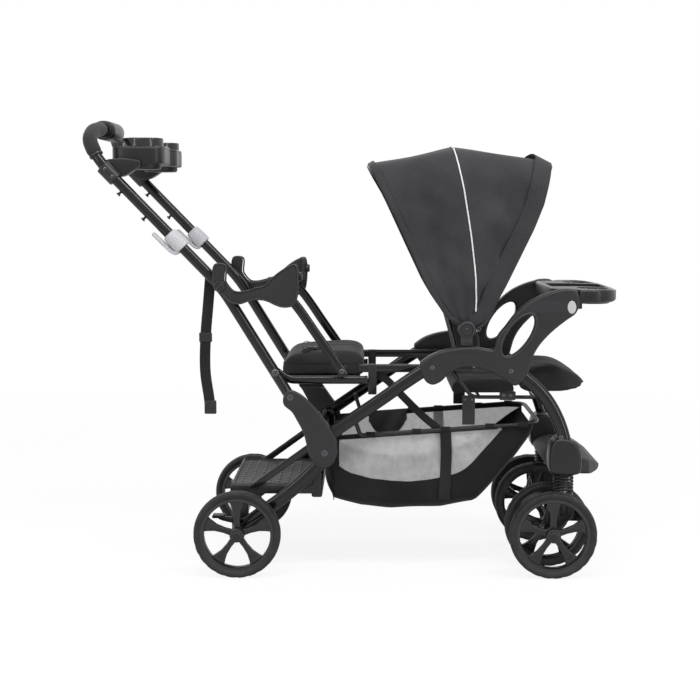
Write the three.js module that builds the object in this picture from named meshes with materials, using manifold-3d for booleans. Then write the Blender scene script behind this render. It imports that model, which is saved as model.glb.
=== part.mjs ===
// Sit and stand stroller: a front seat under a canopy, and a rear bench with a standing platform.
// Millimetres, +Z up, +X is the way it travels, the right-hand side is at -Y.
// Everything is laid out from the rear axle and the ground, and the whole is then
// moved along X so that the origin lies on the ground under the middle of its length.
import * as THREE from 'three';
import { mergeVertices } from 'three/addons/utils/BufferGeometryUtils.js';
import Module from 'manifold-3d';

const wasm = await Module();
wasm.setup();

// Clearances shared by every fit
const gap = 0.3;
const overrun = 2;
const pivotClearance = 0.35;
const axleClearance = 0.35;
const weldTolerance = 0.001;

// How finely round pieces and curves are divided
const tubeSides = 8;
const thinSides = 6;
const pinSides = 12;
const discSides = 14;
const cupSides = 18;
const archSteps = 18;
const loopSteps = 12;
const strapSteps = 12;
const curveSteps = 8;
const holeSteps = 20;
const arcSteps = 6;

// Wheels and axles
const wheelDiameter = 203;
const wheelSegments = 24;
const tyreWidth = 34;
const tyreDepth = 17;
const tyreShoulder = 6;
const tyreFlankShare = 0.72;
const tyreTreadShare = 0.45;
const rimBandDepth = 6;
const rimWidth = 24;
const spokeWidth = 11;
const spokeCount = 5;
const spokeRootHalf = 7;
const spokeTipHalf = 18;
const hubDiameter = 36;
const hubWidth = 38;
const axleDiameter = 12;
const axleHeadDiameter = 18;
const axleHeadWidth = 3;
const wheelRadius = wheelDiameter / 2;
const trackHalf = 253;
const twinSpacing = 120;
const twinY = trackHalf - twinSpacing / 2;

// Main tubes: one arch at each side, from the rear hub over the seat down to the front socket
const mainTubeDepth = 30;
const mainTubeWidth = 20;
const mainTubeInset = 32;
const mainTubeY = trackHalf - mainTubeInset;
const mainTubeLength = 580;
const archRise = 204;
const mainTubeFoot = new THREE.Vector2(185, 310);
const mainTubeShares = [
  [0, 0], [0.1209, 0.24], [0.2397, 0.471], [0.4228, 0.828], [0.5172, 0.956], [0.6207, 1],
  [0.7362, 0.931], [0.8397, 0.735], [0.9086, 0.549], [0.9586, 0.319], [0.9897, 0.0735], [1, -0.098],
];
const legHingeShare = 0.22;

// Armrests: the cover over each arch and the arm that rises from it, with its slanted oval hole
const armrestBackX = 424;
const armrestLowZ = 447;
const armrestLength = 366;
const armrestHeight = 224;
const armrestInnerWall = 4.5;
const armrestOuterWall = 5;
const armrestEdge = 3;
const armrestShares = [
  [0, 0.232], [0.025, 0.272], [0.077, 0.326], [0.158, 0.371], [0.251, 0.397], [0.347, 0.402],
  [0.423, 0.379], [0.459, 0.379], [0.489, 0.518], [0.538, 0.621], [0.601, 0.754], [0.694, 0.879],
  [0.787, 0.951], [0.85, 0.982], [0.893, 1], [0.975, 0.987], [1, 0.884], [0.978, 0.754],
  [0.915, 0.674], [0.822, 0.549], [0.749, 0.415], [0.71, 0.299], [0.68, 0.134], [0.656, 0.067],
  [0.601, 0], [0.538, 0.062], [0.443, 0.147], [0.347, 0.192], [0.265, 0.188], [0.191, 0.134],
  [0.126, 0.036], [0.077, 0.009], [0.033, 0.049],
];
const holeShares = [0.618, 0.52];
const holeLength = 112;
const holeWidth = 48;
const holeTilt = 55;

// Tray buttons and the tongues that the child's tray slides into the armrests
const buttonShares = [0.948, 0.813];
const buttonWidth = 20;
const buttonHeight = 30;
const buttonThickness = 7;
const buttonProud = 2;
const buttonPocket = 9;
const tongueWall = 5;
const tongueThickness = 8;
const tongueHeight = 24;
const tongueDrop = 5;
const tongueReach = 26;

// Rear covers at the foot of the main tubes, and the hinges that they hold
const coverBackX = 107;
const coverLowZ = 259;
const coverLength = 125;
const coverHeight = 178;
const coverWall = 10;
const coverEdge = 3;
const legCoverGap = 3;
const rearCoverShares = [
  [0.048, 0.972], [0.136, 1], [0.232, 0.983], [0.368, 0.927], [0.568, 0.792], [0.776, 0.596],
  [0.92, 0.449], [0.976, 0.371], [1, 0.23], [1, 0.146], [0.864, 0], [0.64, 0.006],
  [0.496, 0.107], [0.44, 0.264], [0.368, 0.449], [0.264, 0.59], [0.16, 0.713], [0.016, 0.803],
  [0, 0.888],
];
const handleHinge = new THREE.Vector2(121, 422);
const pivotPinDiameter = 8;
const hingePinDiameter = 12;

// Front sockets and the footrest between them
const mainTubeFrontX = mainTubeFoot.x + mainTubeLength;
const casterStep = -2;
const casterTrail = 30;
const casterX = mainTubeFrontX + casterStep;
const wheelBase = casterX - casterTrail;
const housingLength = 72;
const housingHeight = 82;
const housingLowZ = 240;
const housingWidth = 66;
const housingOffset = 8;
const housingEdge = 4;
const housingShares = [
  [0, 0.1], [0.08, 0], [0.92, 0], [1, 0.1], [1, 0.55], [0.86, 0.86], [0.6, 1], [0.2, 1], [0.02, 0.78],
];
const footrestOverlap = 34;
const footrestBackX = mainTubeFrontX - footrestOverlap;
const footrestLength = 128;
const footrestLowZ = 230;
const footrestHeight = 42;
const footrestEdge = 4;
const footrestRound = 62;
const footrestGrooves = 5;
const footrestGroovePitch = 13;
const footrestGrooveWidth = 4;
const footrestGrooveDepth = 3;
const footrestGrooveShare = 0.8;
const footrestCornerBack = 0.3;
const footrestCornerIn = 0.4;
const footrestShares = [
  [0, 0.5], [0.12, 0.88], [0.3, 1], [0.5, 0.99], [0.72, 0.84], [0.9, 0.55],
  [1, 0.3], [0.97, 0.1], [0.85, 0], [0.45, 0], [0.15, 0.15], [0, 0.3],
];

// Seat frame
const wireDiameter = 9;
const railTubeDepth = 19;
const railTubeWidth = 12;
const seatRailInset = 49;
const seatRailY = mainTubeY - seatRailInset;
const seatRailZ = 481;
const seatRailBackX = 285;
const seatRailFrontX = 548;
const seatWireBackX = 497;
const seatWireLowZ = 414;
const seatWireLength = 225;
const seatWireHeight = 66;
const seatWireBend = 22;
const seatWireShares = [[0, 1], [0.205, 0.08], [0.27, 0], [0.82, 0], [1, 0]];
const seatBarShares = [0.3, 0.66, 0.9];
const seatPostShare = 0.19;
const seatPostLength = 30;
const seatPostThickness = 4;
const seatBossX = 455;
const seatBossDiameter = 16;
const hangerX = 314;
const hangerLength = 20;
const crossTubeZ = 427;
const crossTubeDiameter = 12;

// Basket wire and basket
const basketWireDiameter = 10;
const basketWireSideInset = 39;
const basketWireY = mainTubeY - basketWireSideInset;
const basketHangX = 250;
const basketWireStep = 16;
const basketWireBack = 222;
const basketWireBackZ = 318;
const basketWireSlope = 0.072;
const basketWireInset = 59;
const basketWireFront = mainTubeFrontX - basketWireInset;
const basketWireBend = 60;
const basketBackX = 224;
const basketLowZ = 143;
const basketFrontInset = 6;
const basketLength = basketWireFront - basketFrontInset - basketBackX;
const basketDepth = 200;
const basketWall = 4;
const basketLip = 24;
const basketCorner = 56;
const basketCornerShare = 0.3;
const basketBackSwell = 20;
const basketBackTopZ = 306;
const basketShares = [
  [0, 0.12], [0, 0.875], [1, 1.045], [0.97, 0.85], [0.83, 0.43], [0.73, 0.155], [0.7, 0.095],
  [0.53, 0.025], [0.28, 0], [0.13, 0.035],
];
const basketBackShares = [[1, 0], [0.99, 0.05], [0.4, 0.25], [0.1, 0.5], [0.4, 0.75], [0.99, 0.97], [1, 1]];

// Handle
const handleTubeDiameter = 25;
const handleTubeInset = 6;
const handleTubeY = mainTubeY - handleTubeInset;
const handleBendX = -34;
const handleBendZ = 672;
const handleClampX = -290;
const handleClampZ = 936;
const handleBend = 40;
const handleEndReach = 14;
const handleEndBack = 8;
const gripReachX = 48;
const gripRise = 104;
const gripShares = [[0.58, 0.01, 0.35], [0.96, 0.07, 0.69], [1, 0.23, 0.9], [0.88, 0.49, 1], [0.79, 1, 1]];
const gripDiameter = 34;
const gripStartStep = 3;
const gripGap = 4;
const hubHalfWidth = 70;
const hubLength = 50;
const hubHeight = 42;
const hubEdge = 5;
const hubShares = [[0, 0.3], [0, 0.75], [0.2, 1], [0.75, 1], [1, 0.7], [1, 0.25], [0.8, 0], [0.25, 0]];
const triggerBridgeGap = 0.45;
const triggerX = -139;
const triggerZ = 780;
const triggerDiameter = 40;
const triggerLength = 46;
const tabOffset = 24;
const triggerTabThickness = 7;
const triggerTabWidth = 22;
const triggerTabReach = 52;

// Parent tray
const parentTrayBackX = -292;
const parentTrayLength = 120;
const parentTrayLowZ = 957;
const parentTrayHeight = 40;
const parentTrayInset = 5;
const parentTrayRound = 30;
const parentTrayRoundShare = 0.3;
const parentTrayWall = 4;
const parentTrayWaist = 62;
const parentTrayBay = 14;
const parentTrayEdge = 4;
const wellHalfWidth = 56;
const cupDiameter = 76;
const cupRingDiameter = 94;
const cupRingRise = 21;
const cupDrop = 12;
const clampDiameter = 36;
const clampLength = 44;
const clampArmBackX = -310;
const clampArmLowZ = 927;
const clampArmLength = 90;
const clampArmHeight = 36;
const clampArmInset = 16;
const clampArmShares = [[0.16, 0.2], [0.4, 0], [0.62, 0.1], [1, 0.8], [1, 1], [0.08, 1]];

// Infant seat cradle brackets and the support tubes below them
const cradleHinge = new THREE.Vector2(-38.3, 677);
const bracketBackX = -50;
const bracketLowZ = 628;
const bracketLength = 190;
const bracketHeight = 99;
const bracketGap = 1.2;
const bracketThickness = 12;
const bracketEdge = 3;
const bracketShares = [
  [0, 1], [0.126, 1], [0.126, 0.626], [0.147, 0.545], [0.2, 0.414], [0.242, 0.364],
  [0.316, 0.354], [0.379, 0.374], [0.547, 0.465], [0.647, 0.535], [0.716, 0.687], [0.795, 0.818],
  [0.895, 0.939], [1, 1], [1, 0.162], [0.937, 0.02], [0.837, 0], [0.763, 0.04],
  [0.668, 0.121], [0.579, 0.162], [0.484, 0.162], [0.389, 0.121], [0.305, 0.071], [0.221, 0.081],
  [0.158, 0.162], [0.084, 0.313], [0, 0.444],
];
const flangeThickness = 8;
const flangeDepth = 24;
const flangeLowShare = 0.4;
const knobDiameter = 20;
const knobLength = 12;
const knobShare = 0.72;
const pivotKnobDiameter = 26;
const pivotKnobHeight = 4;
const supportTubeDepth = 22;
const supportTubeWidth = 12;
const supportTubeInset = 3;
const supportTubeY = handleTubeY - supportTubeInset;
const supportTopX = 106;
const supportTopZ = 664;
const supportLowX = 243;
const supportLowZ = 478;
const supportShares = [[0, 1], [0.22, 0.83], [0.59, 0.44], [1, 0], [1.04, -0.05]];

// Rear bench
const benchHinge = new THREE.Vector2(88.7, 475.5);
const benchRailInset = 27;
const benchRailY = handleTubeY - benchRailInset;
const benchRailZ = 455;
const benchRailDrop = 28;
const benchRailFrontX = 300;
const benchBarShares = [0.12, 0.69];
const benchBoardThickness = 13;
const benchNose = 12;
const benchSideGap = 38;
const benchHalfWidth = benchRailY - benchSideGap;
const benchPadBackX = 97;
const benchPadLength = 200;
const benchPadHeight = 62;
const benchPadShares = [
  [0.02, 0], [0, 0.35], [0.04, 0.62], [0.12, 0.82], [0.3, 0.93], [0.6, 1],
  [0.88, 0.97], [0.98, 0.78], [1, 0.4], [0.98, 0],
];
const lugLength = 22;
const lugThickness = 6;
const studProud = 3;
const tetherTopX = -62;
const tetherTopZ = 700;
const tetherLength = 320;
const tetherSway = 14;
const tetherWidth = 25;
const tetherThickness = 3;
const tetherY = handleTubeY - handleTubeDiameter / 2 - tetherThickness / 2 - gap;
const tetherRun = [[0, 0], [0.4, 0.2], [0.9, 0.45], [1, 0.7], [0.4, 0.9], [0.2, 1]];

// Rear legs, platform and brake pedals
const legTubeDepth = 32;
const legTubeWidth = 20;
const legInset = 22;
const legY = mainTubeY - legInset;
const legBend = 50;
const legShares = [[1.02, 0.77], [0.65, 0.435]];
const platformBackX = -22;
const platformLength = 217;
const platformTopZ = 206;
const platformThickness = 24;
const platformSideGap = 27;
const platformHalfWidth = legY - platformSideGap;
const platformRim = 8;
const platformRecess = 4;
const toeBoardLength = 25;
const toeBoardLowZ = 172;
const toeBoardTopZ = 250;
const hangerWidth = 20;
const strutThickness = 6;
const strutDepth = 16;
const strutInset = 8;
const strutFootShare = 0.23;
const pedalHinge = new THREE.Vector2(-2, 126);
const pedalLugDiameter = 14;
const pedalPinDiameter = 7;
const pedalThickness = 11;
const pedalReach = 60;
const pedalRise = 12;
const pedalTreadLength = 30;
const pedalTreadWidth = 32;
const pedalTreadThickness = 7;
const pedalRootShare = 0.4;
const pedalTipShare = 0.2;

// Casters
const stemDiameter = 18;
const stemDepth = 34;
const stemReach = 40;
const stemFlangeHeight = 4;
const springDiameter = 48;
const springWire = 6;
const springLength = 44;
const springCurls = 5;
const springSteps = 8;
const springSides = 5;
const forkTravel = 12;
const forkHeadDiameter = 46;
const forkHeadHeight = 58;
const forkHubDiameter = 34;
const forkLegWidth = 40;
const forkEdge = 4;
const forkTaperShare = 0.35;

// Child's tray
const trayLength = 108;
const trayBowl = 58;
const trayOverhang = 7;
const trayHalfWidth = mainTubeY + trayOverhang;
const trayLowZ = 638;
const trayHeight = 30;
const trayEdge = 4;
const trayWall = 4;
const trayCupDiameter = 74;
const trayCupInset = 96;
const trayCupY = trayHalfWidth - trayCupInset;
const trayCupShare = 0.4;
const trayCupDrop = 6;
const trayWellHalf = 66;
const trayWellDepth = 22;
const trayWellBack = 12;
const trayWellFrontShare = 0.2;
const trayBowlShare = 0.9;
const trayPlanShares = [[0, 1], [0.45, 0.98], [0.72, 0.86], [0.9, 0.6], [1, 0.25]];
const trayProfileShares = [
  [0, 0.1], [0, 0.9], [0.06, 1], [0.6, 0.97], [0.9, 0.88], [0.98, 0.7], [1, 0.3], [0.96, 0], [0.04, 0],
];

// Canopy
const pivotShares = [0.295, 0.574];
const canopyInset = 25;
const canopySideY = mainTubeY - canopyInset;
const canopyHubDiameter = 42;
const canopyHubWidth = 20;
const hubFootLength = 26;
const hubFootShare = 0.402;
const bowPinDiameter = 10;
const bowEyeDiameter = 30;
const bowPitch = 6.5;
const bowStackShare = 1.5;
const bowWidth = 12;
const bowThickness = 5;
const bowCorner = 70;
const bowCornerSteps = 5;
const bowCrown = 8;
const rearBowAngle = -30.65;
const midBowAngle = -4;
const frontBowAngle = 27.3;
const rearBowReach = 436;
const midBowReach = 414;
const frontBowReach = 427;
const panelRows = 4;
const panelSag = 5;
const panelLift = 2.8;
const panelThickness = 2;
const panelStart = 36;
const panelSplit = 0.006;

// Seat and back cushions
const cushionRows = 10;
const cushionPoints = 22;
const cushionSquareness = 6;
const cushionEndShare = 0.3;
const cushionDrawIn = 0.06;
const seatSideGap = 24;
const seatHalfWidth = seatRailY - seatSideGap;
const seatPadBackX = 500;
const seatPadLength = 152;
const seatPadHeight = 36;
const seatPadShares = [
  [0, 0], [0, 0.5], [0.06, 0.85], [0.3, 0.95], [0.7, 1], [0.95, 0.9], [1, 0.5], [1, 0],
];
const calfBackX = 655;
const calfLength = 163;
const calfHeight = 70;
const calfShares = [
  [0, 0.449], [0.061, 0.71], [0.215, 0.884], [0.399, 1], [0.595, 1], [0.828, 0.768],
  [1, 0.435], [0.963, 0.275], [0.767, 0.072], [0.552, 0], [0.276, 0], [0.061, 0.087],
];
const backrestFootX = 531;
const backrestFootZ = 461;
const backrestLength = 415;
const backrestThickness = 60;
const backrestLean = 14;
const backrestRodShares = [0.035, 0.12];
const backrestRodDiameter = 8;
const backrestShares = [
  [0, 0], [0, 0.3], [0.08, 0.8], [0.16, 1], [0.24, 0.95], [0.34, 0.55],
  [0.45, 0.42], [0.7, 0.4], [0.95, 0.38], [1, 0.2], [0.98, 0], [0.5, 0],
];

// Shape helpers: closed geometries in, closed solids joined and cut, one mesh out
const up = new THREE.Vector3(0, 0, 1);
const across = new THREE.Vector3(0, 1, 0);
const ahead = new THREE.Vector3(1, 0, 0);
const half = (value) => value / 2;
const flatShare = Math.cos(Math.PI / tubeSides);
const degrees = (value) => (value * Math.PI) / 180;
const at = (x, y, z) => new THREE.Vector3(x, y, z);
const flat = (x, z) => new THREE.Vector2(x, z);

function solid(geometry) {
  const bare = geometry.clone();
  bare.deleteAttribute('normal');
  bare.deleteAttribute('uv');
  const merged = mergeVertices(bare, weldTolerance);
  const vertProperties = new Float32Array(merged.attributes.position.array);
  const triVerts = new Uint32Array(merged.index.array);
  return new wasm.Manifold(new wasm.Mesh({ numProp: 3, vertProperties, triVerts }));
}

function surface(manifold) {
  const mesh = manifold.getMesh();
  const geometry = new THREE.BufferGeometry();
  geometry.setAttribute('position', new THREE.BufferAttribute(mesh.vertProperties, 3));
  geometry.setIndex(new THREE.BufferAttribute(mesh.triVerts, 1));
  return geometry;
}

function joined(first, ...others) {
  const start = solid(first);
  return surface(others.reduce((sum, other) => sum.add(solid(other)), start));
}

function cut(body, ...tools) {
  const start = solid(body);
  return surface(tools.reduce((rest, tool) => rest.subtract(solid(tool)), start));
}

function common(first, second) {
  return surface(solid(first).intersect(solid(second)));
}

// The height of an outline's upper edge at a place along X
function outlineTop(outline, x) {
  let top = -Infinity;
  outline.forEach((point, step) => {
    const next = outline[(step + 1) % outline.length];
    const share = (x - point.x) / (next.x - point.x);
    if (share >= 0 && share <= 1) {
      top = Math.max(top, point.y + share * (next.y - point.y));
    }
  });
  return top;
}

function moved(geometry, x, y, z) {
  return geometry.translate(x, y, z);
}

// A mirror image at the other side of the centre plane, with its faces turned back outwards
function mirrored(geometry) {
  const copy = geometry.index ? geometry.toNonIndexed() : geometry.clone();
  copy.scale(1, -1, 1);
  const places = copy.attributes.position.array;
  for (let corner = 0; corner < places.length; corner += 9) {
    for (let axis = 0; axis < 3; axis += 1) {
      const second = places[corner + 3 + axis];
      places[corner + 3 + axis] = places[corner + 6 + axis];
      places[corner + 6 + axis] = second;
    }
  }
  return copy;
}

// A path with a ring of the section at each of its points. The section's first direction stays
// along side where one is given, and otherwise turns as little as it can from point to point.
class Route extends THREE.Curve {
  constructor(points, side) {
    super();
    this.points = points;
    this.side = side;
  }

  getPoint(share) {
    const place = share * (this.points.length - 1);
    const step = Math.min(Math.floor(place), this.points.length - 2);
    return new THREE.Vector3().lerpVectors(this.points[step], this.points[step + 1], place - step);
  }

  getSpacedPoints() {
    return this.points;
  }

  computeFrenetFrames() {
    const { points } = this;
    const last = points.length - 1;
    const tangents = [];
    const normals = [];
    const binormals = [];
    let guide = this.side;
    for (let step = 0; step <= last; step += 1) {
      const before = points[Math.max(step - 1, 0)];
      const after = points[Math.min(step + 1, last)];
      const tangent = new THREE.Vector3().subVectors(after, before).normalize();
      guide = guide || (Math.abs(tangent.y) < Math.SQRT1_2 ? across : up);
      const normal = guide.clone().addScaledVector(tangent, -guide.dot(tangent)).normalize();
      tangents.push(tangent);
      normals.push(normal);
      binormals.push(new THREE.Vector3().crossVectors(tangent, normal));
      guide = this.side || normal;
    }
    return { tangents, normals, binormals };
  }
}

// Straight runs between points, with each corner rounded over a length called bend
function bentRun(points, bend, cornerSteps = 4) {
  const run = [points[0]];
  for (let corner = 1; corner + 1 < points.length; corner += 1) {
    const here = points[corner];
    const back = new THREE.Vector3().subVectors(points[corner - 1], here);
    const on = new THREE.Vector3().subVectors(points[corner + 1], here);
    const reach = Math.min(bend, half(back.length()), half(on.length()));
    const enter = here.clone().addScaledVector(back.normalize(), reach);
    const leave = here.clone().addScaledVector(on.normalize(), reach);
    const arc = new THREE.QuadraticBezierCurve3(enter, here, leave);
    run.push(...arc.getPoints(cornerSteps));
  }
  run.push(points[points.length - 1]);
  return run.filter((point, step) => step === 0 || point.distanceTo(run[step - 1]) > weldTolerance);
}

// A smooth curve through the points
function curvedRun(points, count) {
  return new THREE.CatmullRomCurve3(points, false, 'centripetal').getPoints(count);
}

function oval(acrossSize, deepSize, sides) {
  const shape = new THREE.Shape();
  for (let corner = 0; corner < sides; corner += 1) {
    const turn = ((corner + 0.5) / sides) * 2 * Math.PI;
    const x = half(acrossSize) * Math.cos(turn);
    const y = half(deepSize) * Math.sin(turn);
    if (corner === 0) {
      shape.moveTo(x, y);
    } else {
      shape.lineTo(x, y);
    }
  }
  shape.closePath();
  return shape;
}

// A tube along a run of points; acrossSize lies along side, deepSize square to it
function tube(points, acrossSize, deepSize, side = across, sides = tubeSides) {
  const extrudePath = new Route(points, side);
  const settings = { steps: points.length - 1, bevelEnabled: false, extrudePath };
  return new THREE.ExtrudeGeometry(oval(acrossSize, deepSize, sides), settings);
}

// A round tube along a run that turns in space
function bentTube(points, diameter, sides = tubeSides) {
  return tube(points, diameter, diameter, null, sides);
}

// A flat band along a run of points; width lies along side
function strap(points, width, thickness, side) {
  const shape = new THREE.Shape([
    flat(-half(width), -half(thickness)), flat(half(width), -half(thickness)),
    flat(half(width), half(thickness)), flat(-half(width), half(thickness)),
  ]);
  const settings = { steps: points.length - 1, bevelEnabled: false, extrudePath: new Route(points, side) };
  return new THREE.ExtrudeGeometry(shape, settings);
}

// The width of a bore whose flat sides stay clear of a round bar inside it
function around(diameter, sides) {
  return (diameter + 2 * gap) / Math.cos(Math.PI / sides);
}

// Points in the side view from shares of a length and a height, counted from a low back corner
function spread(shares, corner, length, height) {
  return shares.map(([x, z]) => flat(corner.x + x * length, corner.y + z * height));
}

// The same as points in space, in the plane at y
function spreadAt(y, shares, corner, length, height) {
  return spread(shares, corner, length, height).map((point) => at(point.x, y, point.y));
}

// An outline in the side view, as thick as y runs from near to far; edge rounds both rims
function plate(outline, near, far, edge = 0, holes = []) {
  const shape = outline instanceof THREE.Shape ? outline : new THREE.Shape(outline);
  for (const hole of holes) {
    shape.holes.push(new THREE.Path(hole));
  }
  const bevelled = edge > 0;
  const settings = {
    depth: far - near - 2 * edge,
    bevelEnabled: bevelled,
    bevelThickness: edge,
    bevelSize: edge,
    bevelOffset: -edge,
    bevelSegments: 1,
    curveSegments: arcSteps,
  };
  const geometry = new THREE.ExtrudeGeometry(shape, settings);
  geometry.rotateX(Math.PI / 2);
  geometry.translate(0, far - edge, 0);
  return geometry;
}

// An outline seen from above, from bottom to top
function slab(outline, bottom, top, edge = 0) {
  const settings = {
    depth: top - bottom - 2 * edge,
    bevelEnabled: edge > 0,
    bevelThickness: edge,
    bevelSize: edge,
    bevelOffset: -edge,
    bevelSegments: 1,
    curveSegments: arcSteps,
  };
  const geometry = new THREE.ExtrudeGeometry(new THREE.Shape(outline), settings);
  geometry.translate(0, 0, bottom + edge);
  return geometry;
}

function box(xLow, xHigh, yLow, yHigh, zLow, zHigh) {
  const geometry = new THREE.BoxGeometry(xHigh - xLow, yHigh - yLow, zHigh - zLow);
  return moved(geometry, half(xLow + xHigh), half(yLow + yHigh), half(zLow + zHigh));
}

// A round bar along Y
function pin(x, z, diameter, yLow, yHigh, sides = pinSides) {
  const geometry = new THREE.CylinderGeometry(half(diameter), half(diameter), yHigh - yLow, sides);
  return moved(geometry, x, half(yLow + yHigh), z);
}

// A round bar along Z
function post(x, y, diameter, zLow, zHigh, sides = pinSides) {
  const geometry = new THREE.CylinderGeometry(half(diameter), half(diameter), zHigh - zLow, sides);
  geometry.rotateX(Math.PI / 2);
  return moved(geometry, x, y, half(zLow + zHigh));
}

// Points of an ellipse in the side view, turned by a tilt
function ellipse(x, z, long, short, tilt) {
  const points = [];
  for (let step = 0; step < holeSteps; step += 1) {
    const turn = (step / holeSteps) * 2 * Math.PI;
    const a = half(long) * Math.cos(turn);
    const b = half(short) * Math.sin(turn);
    points.push(
      flat(x + a * Math.cos(tilt) - b * Math.sin(tilt), z + a * Math.sin(tilt) + b * Math.cos(tilt)),
    );
  }
  return points;
}

// A smooth closed outline through a few points
function smooth(points, count) {
  const curve = new THREE.CatmullRomCurve3(points.map((p) => at(p.x, 0, p.y)), true, 'centripetal');
  return curve.getPoints(count).slice(0, count).map((p) => flat(p.x, p.z));
}

// A closed skin round a grid of rows of points; each row closes on itself
function loft(rows) {
  const count = rows[0].length;
  const places = [];
  const faces = [];
  for (const row of rows) {
    for (const point of row) {
      places.push(point.x, point.y, point.z);
    }
  }
  for (let row = 0; row + 1 < rows.length; row += 1) {
    for (let step = 0; step < count; step += 1) {
      const next = (step + 1) % count;
      const a = row * count + step;
      const b = row * count + next;
      faces.push(a, b, b + count);
      faces.push(a, b + count, a + count);
    }
  }
  for (const row of [0, rows.length - 1]) {
    const centre = new THREE.Vector3();
    for (const point of rows[row]) {
      centre.addScaledVector(point, 1 / count);
    }
    const middle = places.length / 3;
    places.push(centre.x, centre.y, centre.z);
    for (let step = 0; step < count; step += 1) {
      const a = row * count + step;
      const b = row * count + ((step + 1) % count);
      if (row === 0) {
        faces.push(middle, b, a);
      } else {
        faces.push(middle, a, b);
      }
    }
  }
  const geometry = new THREE.BufferGeometry();
  geometry.setAttribute('position', new THREE.Float32BufferAttribute(places, 3));
  geometry.setIndex(faces);
  return facingOut(geometry);
}

// A closed sheet between an outer and an inner grid of points with open edges
function sheet(outer, inner) {
  const count = outer[0].length;
  const places = [];
  const faces = [];
  for (const grid of [outer, inner]) {
    for (const row of grid) {
      for (const point of row) {
        places.push(point.x, point.y, point.z);
      }
    }
  }
  const under = outer.length * count;
  const quad = (a, b, c, d) => faces.push(a, b, c, a, c, d);
  for (let row = 0; row + 1 < outer.length; row += 1) {
    for (let step = 0; step + 1 < count; step += 1) {
      const a = row * count + step;
      quad(a, a + 1, a + 1 + count, a + count);
      quad(under + a + count, under + a + 1 + count, under + a + 1, under + a);
    }
    const near = row * count;
    const far = near + count - 1;
    quad(near, near + count, under + near + count, under + near);
    quad(under + far, under + far + count, far + count, far);
  }
  for (let step = 0; step + 1 < count; step += 1) {
    const last = (outer.length - 1) * count + step;
    quad(under + step, under + step + 1, step + 1, step);
    quad(last, last + 1, under + last + 1, under + last);
  }
  const geometry = new THREE.BufferGeometry();
  geometry.setAttribute('position', new THREE.Float32BufferAttribute(places, 3));
  geometry.setIndex(faces);
  return facingOut(geometry);
}

// Turns every face round if the skin encloses a negative volume
function facingOut(geometry) {
  const place = geometry.attributes.position;
  const index = geometry.index;
  let volume = 0;
  const corner = (k) => new THREE.Vector3().fromBufferAttribute(place, index.getX(k));
  for (let k = 0; k < index.count; k += 3) {
    volume += corner(k).dot(corner(k + 1).cross(corner(k + 2)));
  }
  if (volume < 0) {
    for (let k = 0; k < index.count; k += 3) {
      const second = index.getX(k + 1);
      index.setX(k + 1, index.getX(k + 2));
      index.setX(k + 2, second);
    }
  }
  return geometry;
}

// MAIN FRAME
const mainTubePath = curvedRun(
  spreadAt(mainTubeY, mainTubeShares, mainTubeFoot, mainTubeLength, archRise), archSteps,
);
const legHinge = new THREE.Vector3().lerpVectors(
  ...spreadAt(mainTubeY, mainTubeShares, mainTubeFoot, mainTubeLength, archRise).slice(0, 2), legHingeShare,
);

function mainTubeBody(spare, sideways = 0) {
  const path = mainTubePath.map((point) => point.clone().addScaledVector(across, sideways));
  return tube(path, mainTubeWidth + 2 * spare, mainTubeDepth + 2 * spare);
}

function mainTube() {
  const bore = pin(legHinge.x, legHinge.z, hingePinDiameter + 2 * gap, legY, coverFar);
  return cut(mainTubeBody(0), bore);
}

const armrestNear = mainTubeY - half(mainTubeWidth) - armrestInnerWall;
const armrestFar = mainTubeY + half(mainTubeWidth) + armrestOuterWall;
const armrestCorner = flat(armrestBackX, armrestLowZ);
const holeCentre = flat(
  armrestBackX + holeShares[0] * armrestLength, armrestLowZ + holeShares[1] * armrestHeight,
);
const buttonCentre = flat(
  armrestBackX + buttonShares[0] * armrestLength, armrestLowZ + buttonShares[1] * armrestHeight,
);
const tongueNear = armrestNear + tongueWall;
const tongueFar = tongueNear + tongueThickness;
const tongueLow = buttonCentre.y - tongueDrop;
const tongueBack = buttonCentre.x - tongueReach;

function armrest() {
  const outline = spread(armrestShares, armrestCorner, armrestLength, armrestHeight);
  const hole = ellipse(holeCentre.x, holeCentre.y, holeLength, holeWidth, degrees(holeTilt));
  const body = plate(outline, armrestNear, armrestFar, armrestEdge, [hole]);
  const front = armrestBackX + armrestLength + overrun;
  const slot = box(
    tongueBack - gap, front, tongueNear - gap, tongueFar + gap,
    tongueLow - gap, tongueLow + tongueHeight + gap,
  );
  const pocket = pin(0, 0, 1, armrestFar - buttonPocket, armrestFar + overrun, discSides);
  pocket.scale(buttonWidth + 2 * gap, 1, buttonHeight + 2 * gap);
  moved(pocket, buttonCentre.x, 0, buttonCentre.y);
  const hollowed = cut(body, mainTubeBody(gap), slot, pocket);
  const railSide = seatRailY + half(railTubeWidth) + gap;
  return joined(
    hollowed,
    pin(seatBossX, seatRailZ, seatBossDiameter, railSide, armrestNear + half(armrestInnerWall)),
  );
}

// An oval push button in each armrest lets the child's tray come off
function trayButton() {
  const cap = pin(0, 0, 1, armrestFar + buttonProud - buttonThickness, armrestFar + buttonProud, discSides);
  cap.scale(buttonWidth, 1, buttonHeight);
  return moved(cap, buttonCentre.x, 0, buttonCentre.y);
}

const coverNear = legY + half(legTubeWidth) + legCoverGap;
const coverFar = mainTubeY + half(mainTubeWidth) + coverWall;
const coverSplit = handleTubeY + half(handleTubeDiameter) + gap;
const coverCorner = flat(coverBackX, coverLowZ);

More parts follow.
